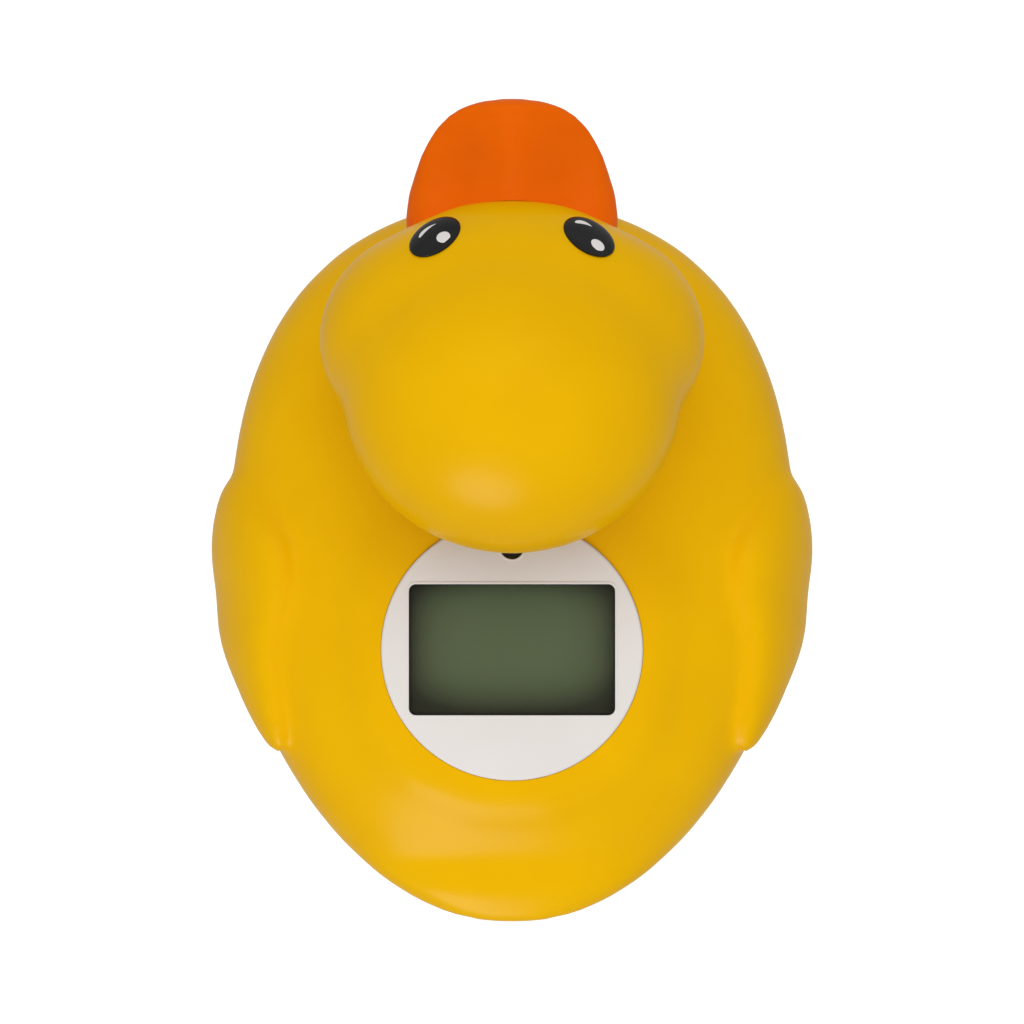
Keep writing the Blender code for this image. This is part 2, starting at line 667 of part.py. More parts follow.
def bill_form(name):
    shape = bmesh.new()
    bmesh.ops.create_uvsphere(shape, u_segments=26, v_segments=12, radius=1.0)
    edge, fullness = BILL_EDGE
    for point in shape.verts:
        x, y, z = point.co
        ring = min(math.hypot(x, y), 1.0)
        plan_x, plan_y = bill_plan(x / ring, y / ring, 0.0) if ring > 0.000001 else (0.0, BILL_ROOT_Y)
        py = BILL_ROOT_Y + (plan_y - BILL_ROOT_Y) * ring
        out = max((BILL_ROOT_Y - py) / BILL_REACH, 0.0)
        half = BILL_HALF_THICKNESS * (1 - (1 - BILL_TIP_SHARE) * out)
        height = BILL_HEIGHT + BILL_TIP_LIFT * out ** 2
        rise = half * (1 - ring ** edge) ** (1 / fullness)
        if z > 0:
            rise += bill_lift(plan_x * ring, out) * (1 - ring ** edge)
        point.co = (plan_x * ring, py, height + (rise if z > 0 else -rise))
    return finish_mesh(name, shape)


def bill_tenon(name, extra):
    """The key at the bill's root that enters the head."""
    size = (BILL_TENON_WIDTH + 2 * extra, BILL_TENON_LENGTH * 2, BILL_TENON_HEIGHT + 2 * extra)
    return block(name, size, (0.0, BILL_ROOT_Y, BILL_HEIGHT), helper=True)


def mouth_groove():
    """A thin ring that marks the line between the upper and the lower bill."""
    outer = plate("mouth_line", bill_ring(-OVERRUN), BILL_HEIGHT - MOUTH_GROOVE / 2,
                  BILL_HEIGHT + MOUTH_GROOVE / 2, helper=True)
    core = bill_ring(MOUTH_DEPTH)
    cut(outer, plate("mouth_core", core, BILL_HEIGHT - MOUTH_GROOVE, BILL_HEIGHT + MOUTH_GROOVE, helper=True))
    return outer


def bill_ring(inset):
    angles = [math.tau * step / 32 for step in range(32)]
    return [bill_plan(math.cos(angle), math.sin(angle), inset) for angle in angles]


def make_bill():
    bill = add_object("bill", bill_form("bill"), ORANGE)
    cut(bill, mouth_groove())
    cut(bill, add_object("bill_seat", head_form("bill_seat", -SEAT_GAP, *HEAD_STEPS), helper=True))
    tenon = bill_tenon("bill_key", 0.0)
    join(bill, tenon)
    return bill


def eye_frame(side):
    """Matrix with its Z axis out of the head's skin at the eye and its Y axis up the face and outwards."""
    point, direction = head_surface(side * EYE_SIDE, CHEEK_CENTRE.y - EYE_AHEAD)
    out = head_normal(direction)
    across = Vector((0, 0, 1)).cross(out).normalized()
    upward = out.cross(across)
    frame = Matrix((across, upward, out)).transposed().to_4x4()
    frame.translation = point
    return frame @ Matrix.Rotation(-side * EYE_TILT, 4, "Z")


def eye_solid(name, side, extra, depth):
    """An oval rod through the skin at the eye, from depth below it to well above it."""
    shape = bmesh.new()
    bmesh.ops.create_cone(shape, cap_ends=True, segments=20, radius1=1.0, radius2=1.0, depth=1.0)
    frame = eye_frame(side)
    for point in shape.verts:
        x, y, z = point.co
        height = OVERRUN if z > 0 else -depth
        point.co = frame @ Vector((x * (EYE_HALF_WIDTH + extra), y * (EYE_HALF_HEIGHT + extra), height))
    return add_object(name, finish_mesh(name, shape), helper=True)


def make_eye(side, word):
    eye = add_object(f"{word}_eye", head_form(f"{word}_eye", 0.0, 48, 32), BLACK)
    combine(eye, eye_solid(f"{word}_eye_core", side, 0.0, EYE_DEPTH), "INTERSECT")
    return eye


def make_display():
    floor = DISC_TOP - DISC_THICKNESS
    profile = [
        (0.0, DISC_TOP), (DISC_RADIUS - DISC_EDGE_ROUND, DISC_TOP), (DISC_RADIUS, DISC_TOP - DISC_EDGE_ROUND),
        (DISC_RADIUS, floor), (0.0, floor),
    ]
    bezel = turned("display_bezel", profile, (0.0, DISC_CENTRE_Y), DISC_STEPS, material=WHITE)
    plate_floor = DISC_TOP - WINDOW_PLATE - SEAT_GAP
    upper = rounded_outline(WINDOW_LENGTH, WINDOW_WIDTH, WINDOW_CORNER)
    lower = rounded_outline(WINDOW_LENGTH - 2 * WINDOW_STEP, WINDOW_WIDTH - 2 * WINDOW_STEP, WINDOW_CORNER / 2)
    centre = (0.0, DISC_CENTRE_Y)
    cut(bezel, plate("window_seat", upper, plate_floor, DISC_TOP + OVERRUN, centre, helper=True))
    cut(bezel, plate("window_sight", lower, floor - OVERRUN, DISC_TOP, centre, helper=True))
    cut(bezel, rod("lens_hole", LENS_RADIUS + SEAT_GAP, floor - OVERRUN, DISC_TOP + OVERRUN, (0.0, LENS_Y), 20,
                   helper=True))
    glass = rounded_outline(WINDOW_LENGTH - 2 * SEAT_GAP, WINDOW_WIDTH - 2 * SEAT_GAP, WINDOW_CORNER - SEAT_GAP)
    plate("display_window", glass, plate_floor + SEAT_GAP, DISC_TOP, centre, material=CLEAR)
    rod("indicator_lens", LENS_RADIUS, floor, DISC_TOP - SEAT_GAP, (0.0, LENS_Y), 20, material=BLACK)


def make_lcd():
    centre = (0.0, DISC_CENTRE_Y)
    block("lcd_panel", (LCD_LENGTH, LCD_WIDTH, LCD_THICKNESS), (*centre, (LCD_TOP + LCD_BOTTOM) / 2),
          material=OLIVE)
    inner = rounded_outline(LCD_LENGTH + 2 * SEAT_GAP, LCD_WIDTH + 2 * SEAT_GAP, SEAT_GAP, 1)
    outer = rounded_outline(FRAME_LENGTH, FRAME_WIDTH, FRAME_WALL, 2)
    base = BOARD_TOP + SEAT_GAP
    frame = plate("lcd_frame", outer, base, LCD_TOP, centre, material=WHITE)
    cut(frame, plate("frame_well", inner, LCD_BOTTOM - SEAT_GAP, LCD_TOP + OVERRUN, centre, helper=True))
    strip_y = DISC_CENTRE_Y - LCD_WIDTH / 2 + STRIP_WIDTH
    slot = (LCD_LENGTH - 2 * FRAME_WALL, STRIP_WIDTH + 2 * SEAT_GAP, OVERRUN * 2)
    cut(frame, block("strip_slot", slot, (0.0, strip_y, base), helper=True))
    slot_inset = 2 * (FRAME_WALL + SEAT_GAP)
    block("zebra_strip", (LCD_LENGTH - slot_inset, STRIP_WIDTH, STRIP_HEIGHT),
          (0.0, strip_y, BOARD_TOP + SEAT_GAP + STRIP_HEIGHT / 2), material=RUBBER)


def make_board():
    centre = (0.0, (BOARD_FRONT_Y + BOARD_REAR_Y) / 2)
    outline = rounded_outline(BOARD_LENGTH, BOARD_REAR_Y - BOARD_FRONT_Y, BOARD_CORNER, 2)
    board = plate("circuit_board", outline, BOARD_BOTTOM, BOARD_TOP, centre, material=GREEN)
    for index, spot in enumerate(BOARD_SPOTS, 1):
        cut(board, rod(f"board_hole_{index}", BOARD_SCREW_RADIUS + SEAT_GAP, BOARD_BOTTOM - OVERRUN,
                       BOARD_TOP + OVERRUN, spot, POST_STEPS, helper=True))
        make_screw(f"board_screw_{index}", spot, BOARD_BOTTOM - SEAT_GAP, BOARD_SCREW_RADIUS, BOARD_SCREW_LENGTH,
                   BOARD_SCREW_HEAD, POST_STEPS)
    top = BOARD_BOTTOM - SEAT_GAP
    dome = [(0.0, top), (BLOB_RADIUS, top), (BLOB_RADIUS * 0.9, top - BLOB_HEIGHT * 0.5),
            (BLOB_RADIUS * 0.6, top - BLOB_HEIGHT * 0.87), (0.0, top - BLOB_HEIGHT)]
    turned("controller_blob", dome, centre, 16, material=BLACK)
    led_base = BOARD_TOP + SEAT_GAP
    led_top = LEDGE_BOTTOM + LEDGE_THICKNESS / 2
    led = [(0.0, led_top), (LED_RADIUS * 0.7, led_top - LED_RADIUS * 0.3), (LED_RADIUS, led_top - LED_RADIUS),
           (LED_RADIUS, led_base), (0.0, led_base)]
    turned("alarm_led", led, (0.0, LENS_Y), 12, material=RED)


def make_screw(name, spot, head_top, radius, length, head_radius, steps, slotted=False):
    """A screw driven upwards: head_top is where its head meets what it holds."""
    head_height = head_radius * 0.55
    tip = head_top + length
    profile = [
        (0.0, tip), (radius * 0.5, tip), (radius, tip - radius), (radius, head_top), (head_radius, head_top),
        (head_radius, head_top - head_height * 0.6), (head_radius * 0.7, head_top - head_height),
        (0.0, head_top - head_height),
    ]
    screw = turned(name, profile, spot, steps, material=STEEL)
    if slotted:
        slot = (head_radius * 1.2, head_radius * 0.35, head_height * 0.8)
        blade = block(f"{name}_slot", slot, (*spot, head_top - head_height), helper=True)
        join(blade, block(f"{name}_cross", (slot[1], slot[0], slot[2]), (*spot, head_top - head_height), helper=True))
        cut(screw, blade)


BAY_INNER_LENGTH = 4 * CELL_RADIUS + CELL_GAP + 2 * SEAT_GAP
BAY_INNER_WIDTH = 2 * (CELL_RADIUS + SEAT_GAP)
DOOR_LENGTH = BAY_INNER_LENGTH + 2 * DOOR_LAP
DOOR_WIDTH = BAY_INNER_WIDTH + 2 * DOOR_LAP
DOOR_BOTTOM = DOOR_RECESS
DOOR_TOP = DOOR_BOTTOM + DOOR_THICKNESS
DOOR_SEAT = DOOR_TOP + SEAT_GAP
LINK_TOP = DOOR_TOP + SEAT_GAP + CONTACT_THICKNESS
CELL_BOTTOM = LINK_TOP + SEAT_GAP
CELL_TOP = CELL_BOTTOM + CELL_HEIGHT
BAY_ROOF = CELL_TOP + 2 * SEAT_GAP + CONTACT_THICKNESS
DOOR_SCREW_Y = CELL_CENTRE_Y + DOOR_WIDTH / 2 + DOOR_TAB / 2 - DOOR_TAB_SINK
CELL_X = CELL_RADIUS + CELL_GAP / 2
PROBE_Y = CELL_CENTRE_Y - PROBE_AHEAD
PROBE_BASE = PROBE_FLANGE - SEAT_GAP
BEAD_RADIUS = PROBE_RADIUS - PROBE_WALL - SEAT_GAP
THERMISTOR_TOP = PROBE_BASE + SEAT_GAP + BEAD_RADIUS
PIN_TOP = PROBE_BASE + PIN_LENGTH


def make_lower_shell():
    hull = add_object("lower_shell", body_form("lower_shell", 0.0, *SKIN_STEPS), YELLOW)
    cut(hull, above("lower_trim", PART_LINE_HEIGHT - SEAT_GAP / 2))
    cut(hull, below("flat_bottom", 0.0))
    hollow = add_object("lower_hollow", body_form("lower_hollow", BODY_WALL, *HOLLOW_STEPS), helper=True)
    cut(hollow, below("hull_floor", BODY_WALL))
    cut(hull, hollow)
    rebate = hull_outline(REBATE_FLOOR, BODY_WALL / 2)
    cut(hull, plate("rim_rebate", rebate, REBATE_FLOOR, PART_LINE_HEIGHT + OVERRUN, helper=True))
    bay = rounded_outline(BAY_INNER_LENGTH + 2 * BAY_WALL, BAY_INNER_WIDTH + 2 * BAY_WALL, BAY_WALL, 2)
    spot = (0.0, CELL_CENTRE_Y)
    screw_spot = (0.0, DOOR_SCREW_Y)
    pad = rounded_outline(DOOR_LENGTH + 2 * BAY_WALL, DOOR_WIDTH + 2 * BAY_WALL, 2 * BAY_WALL, 2)
    join(hull, plate("bay_pad", pad, BODY_WALL / 2, DOOR_SEAT + BAY_WALL, spot, helper=True))
    join(hull, plate("bay_box", bay, BODY_WALL, BAY_ROOF + BAY_WALL, spot, helper=True))
    join(hull, rod("door_boss", DOOR_SCREW_RADIUS + PILLAR_WALL, BODY_WALL, DOOR_TOP + DOOR_SCREW_LENGTH + BAY_WALL,
                   screw_spot, RING_STEPS, helper=True))
    inside = add_object("pillar_trim", body_form("pillar_trim", BODY_WALL / 2, *HOLLOW_STEPS), helper=True)
    for index, place in enumerate(SCREW_SPOTS, 1):
        pillar_radius = SHELL_SCREW_HEAD + SEAT_GAP + PILLAR_WALL
        pillar = rod(f"lower_pillar_{index}", pillar_radius, 0.0, PILLAR_TOP, place, RING_STEPS, helper=True)
        combine(pillar, inside, "INTERSECT")
        join(hull, pillar)
    well = rounded_outline(DOOR_LENGTH + 2 * SEAT_GAP, DOOR_WIDTH + 2 * SEAT_GAP, DOOR_CORNER + SEAT_GAP, 3)
    door_well = plate("door_well", well, -OVERRUN, DOOR_SEAT, spot, helper=True)
    join(door_well, rod("tab_well", DOOR_TAB + SEAT_GAP, -OVERRUN, DOOR_SEAT, screw_spot, 16, helper=True))
    cut(hull, door_well)
    cells = rounded_outline(BAY_INNER_LENGTH, BAY_INNER_WIDTH, CELL_RADIUS, 6)
    cut(hull, plate("cell_space", cells, -OVERRUN, BAY_ROOF, spot, helper=True))
    for side in (1, -1):
        cut(hull, rod(f"lead_hole_{side}", LEAD_RADIUS + SEAT_GAP, CELL_TOP, BAY_ROOF + BAY_WALL + OVERRUN,
                      (side * CELL_X, CELL_CENTRE_Y), 6, helper=True))
    cut(hull, rod("door_pilot", DOOR_SCREW_RADIUS + SEAT_GAP, -OVERRUN, DOOR_TOP + DOOR_SCREW_LENGTH, screw_spot,
                  POST_STEPS, helper=True))
    for index, place in enumerate(SCREW_SPOTS, 1):
        cut(hull, rod(f"head_well_{index}", SHELL_SCREW_HEAD + SEAT_GAP, -OVERRUN, SCREW_FLOOR, place, 10,
                      helper=True))
        cut(hull, rod(f"shank_hole_{index}", SHELL_SCREW_RADIUS + SEAT_GAP, -OVERRUN, PILLAR_TOP + OVERRUN, place,
                      POST_STEPS, helper=True))
    cut(hull, rod("probe_hole", PROBE_RADIUS + SEAT_GAP, -OVERRUN, PROBE_HEIGHT, (0.0, PROBE_Y), 16, helper=True))
    cut(hull, rod("probe_recess", PROBE_RADIUS + PROBE_FLANGE + SEAT_GAP, -OVERRUN, PROBE_FLANGE, (0.0, PROBE_Y),
                  16, helper=True))
    for side in (1, -1):
        cut(hull, rod(f"pin_hole_{side}", PIN_RADIUS + SEAT_GAP, -OVERRUN, PROBE_HEIGHT,
                      (side * PIN_SIDE, PROBE_Y), POST_STEPS, helper=True))
        cut(hull, rod(f"pin_recess_{side}", 2 * PIN_RADIUS + SEAT_GAP, -OVERRUN, PROBE_FLANGE,
                      (side * PIN_SIDE, PROBE_Y), POST_STEPS, helper=True))
    return hull


def section_end(height, inset, inside, outside):
    """Where the hull's section at a height ends, between a station inside it and one outside it."""
    for _ in range(30):
        middle = (inside + outside) / 2
        if rim_height(middle) - height < body_drop(middle) - inset:
            inside = middle
        else:
            outside = middle
    return inside


def hull_outline(height, inset):
    """The hull's outline at a height below the widest line, drawn in by inset."""
    front = section_end(height, inset, WIDEST_Y, CHEST_Y + inset)
    rear = section_end(height, inset, WIDEST_Y, TAIL_Y - inset)
    side = []
    for step in range(1, OUTLINE_STEPS):
        y = (front + rear) / 2 - (rear - front) / 2 * math.cos(math.pi * step / OUTLINE_STEPS)
        depth = (rim_height(y) - height) / (body_drop(y) - inset)
        half = (body_half_width(y) - inset) * (1 - depth ** LOWER_SQUARENESS) ** (1 / LOWER_SQUARENESS)
        side.append((half, y))
    return [(0.0, front)] + side + [(0.0, rear)] + [(-x, y) for x, y in reversed(side)]


GASKET_TOP = PART_LINE_HEIGHT - SEAT_GAP / 2
GASKET_BOTTOM = GASKET_TOP - GASKET_HEIGHT
REBATE_FLOOR = GASKET_BOTTOM - SEAT_GAP


def make_gasket():
    """The seal lies in a rebate round the rim of the hull, and the rim of the upper shell presses on it."""
    outer = hull_outline(REBATE_FLOOR, BODY_WALL / 2 + SEAT_GAP)
    inner = hull_outline(REBATE_FLOOR, BODY_WALL)
    gasket = plate("shell_gasket", outer, GASKET_BOTTOM, GASKET_TOP, material=RUBBER)
    cut(gasket, plate("gasket_core", inner, GASKET_BOTTOM - OVERRUN, GASKET_TOP + OVERRUN, helper=True))


def make_shell_screws():
    for index, spot in enumerate(SCREW_SPOTS, 1):
        make_screw(f"shell_screw_{index}", spot, SCREW_FLOOR - SEAT_GAP, SHELL_SCREW_RADIUS,
                   PILLAR_TOP + SHELL_SCREW_LENGTH - SCREW_FLOOR - SHELL_SCREW_TIP_ROOM,
                   SHELL_SCREW_HEAD, 10, True)


def bay_ring(name, reach, width, low, high, material=None):
    """A flat ring round the cells: a named part with a material, a helper without."""
    outlines = []
    for edge in (reach + width / 2, reach - width / 2):
        outlines.append(rounded_outline(BAY_INNER_LENGTH + 2 * edge, BAY_INNER_WIDTH + 2 * edge,
                                        DOOR_LAP / 2 + edge, 3))
    spot = (0.0, CELL_CENTRE_Y)
    ring = plate(name, outlines[0], low, high, spot, material=material, helper=material is None)
    cut(ring, plate(f"{name}_core", outlines[1], low - OVERRUN, high + OVERRUN, spot, helper=True))
    return ring


def make_lead(name, points):
    """An insulated wire along a smooth line through its points."""
    curve = bpy.data.curves.new(name, "CURVE")
    curve.dimensions = "3D"
    curve.bevel_depth = LEAD_RADIUS
    curve.bevel_resolution = 1
    curve.use_fill_caps = True
    spline = curve.splines.new("POLY")
    spline.points.add(len(points) - 1)
    for point, place in zip(spline.points, points):
        point.co = (*place, 1.0)
    curve.materials.append(RUBBER)
    DUCK.objects.link(bpy.data.objects.new(name, curve))


def make_leads():
    """Wires from the battery contacts, the thermistor and the pins up to the board."""
    top = BOARD_BOTTOM - SEAT_GAP
    front = BOARD_FRONT_Y + LEAD_INSET
    ends = [
        ("battery_lead_positive", CELL_X, CELL_CENTRE_Y, BAY_ROOF, CELL_CENTRE_Y + LEAD_SHIFT),
        ("battery_lead_negative", -CELL_X, CELL_CENTRE_Y, BAY_ROOF, CELL_CENTRE_Y + LEAD_SHIFT),
        ("probe_lead", 0.0, PROBE_Y, THERMISTOR_TOP + SEAT_GAP, front),
        ("pin_lead_left", PIN_SIDE, PROBE_Y, PIN_TOP + SEAT_GAP, front),
        ("pin_lead_right", -PIN_SIDE, PROBE_Y, PIN_TOP + SEAT_GAP, front),
    ]
    for name, x, y, low, end_y in ends:
        make_lead(name, [(x, y + (end_y - y) * moved, low + (top - low) * share) for share, moved in LEAD_LINE])


def make_battery():
    spot = (0.0, CELL_CENTRE_Y)
    outline = rounded_outline(DOOR_LENGTH, DOOR_WIDTH, DOOR_CORNER, 3)
    door = plate("battery_door", outline, DOOR_BOTTOM, DOOR_TOP, spot, material=YELLOW)
    screw_spot = (0.0, DOOR_SCREW_Y)
    join(door, rod("door_tab", DOOR_TAB, DOOR_BOTTOM, DOOR_TOP, screw_spot, 16, helper=True))
    cut(door, rod("door_hole", DOOR_SCREW_RADIUS + SEAT_GAP, -OVERRUN, OVERRUN, screw_spot, 12, helper=True))
    cut(door, rod("door_head_well", DOOR_SCREW_HEAD + SEAT_GAP, -OVERRUN, DOOR_TOP - DOOR_SCREW_SEAT, screw_spot,
                  14, helper=True))
    seal_reach = DOOR_LAP / 2
    groove_floor = DOOR_TOP - SEAL_HEIGHT - SEAT_GAP
    groove = bay_ring("seal_groove", seal_reach, SEAL_WIDTH + 2 * SEAT_GAP, groove_floor, DOOR_TOP + OVERRUN)
    cut(door, groove)
    bay_ring("door_seal", seal_reach, SEAL_WIDTH, DOOR_TOP - SEAL_HEIGHT, DOOR_TOP, RUBBER)
    make_screw("door_screw", screw_spot, DOOR_TOP - DOOR_SCREW_SEAT - SEAT_GAP, DOOR_SCREW_RADIUS,
               DOOR_SCREW_LENGTH, DOOR_SCREW_HEAD, 10, True)
    for index, side in ((1, 1), (2, -1)):
        x = side * CELL_X
        round_edge = CELL_EDGE_ROUND
        profile = [(0.0, CELL_TOP), (CELL_RADIUS - round_edge, CELL_TOP), (CELL_RADIUS, CELL_TOP - round_edge),
                   (CELL_RADIUS, CELL_BOTTOM + round_edge), (CELL_RADIUS - round_edge, CELL_BOTTOM),
                   (0.0, CELL_BOTTOM)]
        turned(f"battery_cell_{index}", profile, (x, CELL_CENTRE_Y), 16, material=STEEL)
        word = "positive" if side == 1 else "negative"
        block(f"contact_{word}", (CELL_RADIUS, CELL_RADIUS, CONTACT_THICKNESS),
              (x, CELL_CENTRE_Y, CELL_TOP + SEAT_GAP + CONTACT_THICKNESS / 2), material=BRASS)
    block("contact_link", (2 * CELL_X + CELL_RADIUS, CELL_RADIUS, CONTACT_THICKNESS),
          (0.0, CELL_CENTRE_Y, DOOR_TOP + SEAT_GAP + CONTACT_THICKNESS / 2), material=BRASS)


def make_probe():
    top = PROBE_HEIGHT
    wall = PROBE_WALL
    flange = PROBE_RADIUS + PROBE_FLANGE
    profile = [
        (0.0, PROBE_BASE), (PROBE_RADIUS - wall, PROBE_BASE), (PROBE_RADIUS - wall, top), (PROBE_RADIUS, top),
        (PROBE_RADIUS, PROBE_BASE), (flange, PROBE_BASE), (flange, PROBE_BASE - wall), (0.0, PROBE_BASE - wall),
    ]
    turned("probe_cap", profile, (0.0, PROBE_Y), 16, material=STEEL)
    low = PROBE_BASE + SEAT_GAP
    bead = [(0.0, THERMISTOR_TOP), (BEAD_RADIUS * 0.7, low + BEAD_RADIUS * 0.8),
            (BEAD_RADIUS, low + BEAD_RADIUS * 0.4), (BEAD_RADIUS, low), (0.0, low)]
    turned("thermistor", bead, (0.0, PROBE_Y), 10, material=BLACK)
    for side, word in ((1, "left"), (-1, "right")):
        head_bottom = PROBE_BASE - PIN_HEAD
        pin = [(0.0, PIN_TOP), (PIN_RADIUS, PIN_TOP), (PIN_RADIUS, PROBE_BASE), (2 * PIN_RADIUS, PROBE_BASE),
               (1.4 * PIN_RADIUS, head_bottom), (0.0, head_bottom)]
        turned(f"water_contact_{word}", pin, (side * PIN_SIDE, PROBE_Y), POST_STEPS, material=STEEL)


make_upper_shell()
make_lower_shell()
make_head_shell()
make_bill()
make_eye(1, "left")
make_eye(-1, "right")
make_display()
make_lcd()
make_board()
make_gasket()
make_shell_screws()
make_battery()
make_probe()
make_leads()
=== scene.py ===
import json
import math

import bmesh
import bpy
from mathutils import Matrix, Vector

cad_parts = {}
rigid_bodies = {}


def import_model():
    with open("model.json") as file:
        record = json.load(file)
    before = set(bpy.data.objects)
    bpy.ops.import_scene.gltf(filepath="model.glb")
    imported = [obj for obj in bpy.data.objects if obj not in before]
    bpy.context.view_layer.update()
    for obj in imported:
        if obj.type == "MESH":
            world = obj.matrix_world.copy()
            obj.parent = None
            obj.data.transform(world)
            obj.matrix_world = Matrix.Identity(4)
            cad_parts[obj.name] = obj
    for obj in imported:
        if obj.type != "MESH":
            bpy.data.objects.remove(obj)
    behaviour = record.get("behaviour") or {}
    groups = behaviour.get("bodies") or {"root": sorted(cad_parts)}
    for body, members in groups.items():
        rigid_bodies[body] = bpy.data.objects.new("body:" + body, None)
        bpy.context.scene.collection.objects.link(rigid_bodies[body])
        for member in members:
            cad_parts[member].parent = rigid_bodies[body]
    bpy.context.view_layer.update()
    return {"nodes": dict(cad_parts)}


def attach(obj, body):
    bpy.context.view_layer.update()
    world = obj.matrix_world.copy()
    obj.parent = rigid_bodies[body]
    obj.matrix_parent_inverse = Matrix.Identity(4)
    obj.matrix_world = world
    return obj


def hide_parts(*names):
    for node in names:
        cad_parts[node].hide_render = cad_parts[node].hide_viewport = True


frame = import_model()
nodes = frame["nodes"]
print("frame loaded:", len(nodes), "nodes")


# small helpers
def focus(piece):
    # only this piece is selected and active
    bpy.ops.object.select_all(action="DESELECT")
    piece.select_set(True)
    bpy.context.view_layer.objects.active = piece


def finishModifiers(piece):
    focus(piece)
    for modifier in list(piece.modifiers):
        bpy.ops.object.modifier_apply(modifier=modifier.name)


def settle(piece):
    # size, turn and place go into the mesh, so the object rests at the origin
    focus(piece)
    bpy.ops.object.transform_apply(location=True, rotation=True, scale=True)


def named(name):
    piece = bpy.context.object
    piece.name = name
    settle(piece)
    return piece


def pick(piece, chosen):
    # in edit mode: only these vertices are selected
    mesh = bmesh.from_edit_mesh(piece.data)
    mesh.verts.ensure_lookup_table()
    bpy.ops.mesh.select_all(action="DESELECT")
    for index in chosen:
        mesh.verts[index].select_set(True)
    mesh.select_flush(True)
    bmesh.update_edit_mesh(piece.data)


def pickEdges(piece, test):
    # in edit mode: only the edges that pass the test are selected
    bpy.ops.mesh.select_all(action="DESELECT")
    bpy.ops.mesh.select_mode(type="EDGE")
    mesh = bmesh.from_edit_mesh(piece.data)
    for edge in mesh.edges:
        if test(edge):
            edge.select_set(True)
    bmesh.update_edit_mesh(piece.data)


def groupBy(piece, key):
    groups = {}
    for vertex in piece.data.vertices:
        groups.setdefault(key(vertex.co), []).append(vertex.index)
    return groups


def nudge(piece, test, move, reach):
    # pulls the vertices that pass the test, and their surroundings with them
    chosen = [v.index for v in piece.data.vertices if test(v.co)]
    focus(piece)
    bpy.ops.object.mode_set(mode="EDIT")
    pick(piece, chosen)
    bpy.ops.transform.translate(
        value=move, use_proportional_edit=True, proportional_edit_falloff="SMOOTH", proportional_size=reach)
    bpy.ops.object.mode_set(mode="OBJECT")


def makeBall(name, segments, rings):
    # a unit ball with its poles on Y, to be shaped ring by ring
    bpy.ops.object.select_all(action="DESELECT")
    bpy.ops.mesh.primitive_uv_sphere_add(
        segments=segments, ring_count=rings, radius=1, rotation=(math.pi / 2, 0, 0))
    return named(name)


def makeOval(name, middle, reach):
    bpy.ops.object.select_all(action="DESELECT")
    bpy.ops.mesh.primitive_ico_sphere_add(subdivisions=5, radius=1, location=middle, scale=reach)
    return named(name)


def makeRod(name, radius, low, high, centre, sides=64, length=None):
    # an upright round or oval rod
    bpy.ops.object.select_all(action="DESELECT")
    bpy.ops.mesh.primitive_cylinder_add(
        vertices=sides, radius=1, depth=high - low, location=(*centre, (low + high) / 2),
        scale=(radius, length or radius, 1))
    return named(name)


def makeBlock(name, size, low, high, centre, corner=0.0):
    # a flat block with its upright corners rounded
    bpy.ops.object.select_all(action="DESELECT")
    bpy.ops.mesh.primitive_cube_add(size=1, location=(*centre, (low + high) / 2), scale=(*size, high - low))
    block = named(name)
    if corner:
        bpy.ops.object.mode_set(mode="EDIT")
        pickEdges(block, lambda edge: abs(edge.verts[0].co.z - edge.verts[1].co.z) > (high - low) / 2)
        bpy.ops.mesh.bevel(offset=corner, segments=8, affect="EDGES")
        bpy.ops.mesh.select_mode(type="VERT")
        bpy.ops.object.mode_set(mode="OBJECT")
    return block


def rodsAt(pieceSet, kind, spots):
    # the same rod at each spot, from its radius, low, high and perhaps sides and length
    radius, low, high, *rest = pieceSet[kind]
    return [makeRod(kind, radius, low, high, spot, *rest) for spot in spots]


def blockAt(pieceSet, kind, spot):
    # a block from its size, low, high and perhaps corner
    size, low, high, *rest = pieceSet[kind]
    return makeBlock(kind, size, low, high, spot, *rest)


def gather(parts):
    # parts that don't touch become one object
    bpy.ops.object.select_all(action="DESELECT")
    for part in parts:
        part.select_set(True)
    bpy.context.view_layer.objects.active = parts[0]
    bpy.ops.object.join()
    return parts[0]


def combine(target, tool, operation):
    # joins, cuts or trims with the tool, which is then cleared away
    modifier = target.modifiers.new("combine", "BOOLEAN")
    modifier.operation = operation
    modifier.object = tool
    modifier.solver = "EXACT"
    finishModifiers(target)
    bpy.data.objects.remove(tool, do_unlink=True)


def duplicate(piece, name):
    focus(piece)
    bpy.ops.object.duplicate()
    bpy.context.object.name = name
    return bpy.context.object


def trim(piece, height, keepUpper):
    # the small threshold makes the cut exactly flat, so later cuts stay closed
    focus(piece)
    bpy.ops.object.mode_set(mode="EDIT")
    bpy.ops.mesh.select_all(action="SELECT")
    bpy.ops.mesh.bisect(
        plane_co=(0, 0, height), plane_no=(0, 0, 1), use_fill=True, threshold=0.000001,
        clear_inner=keepUpper, clear_outer=not keepUpper)
    bpy.ops.object.mode_set(mode="OBJECT")


def fuse(parts, name, voxel, rounds):
    # overlapping closed forms become one skin, and its seams are softened
    skin = gather(parts)
    skin.name = name
    remesh = skin.modifiers.new("fuse", "REMESH")
    remesh.mode = "VOXEL"
    remesh.voxel_size = voxel
    soften = skin.modifiers.new("soften", "SMOOTH")
    soften.factor = 0.5
    soften.iterations = rounds
    finishModifiers(skin)
    return skin


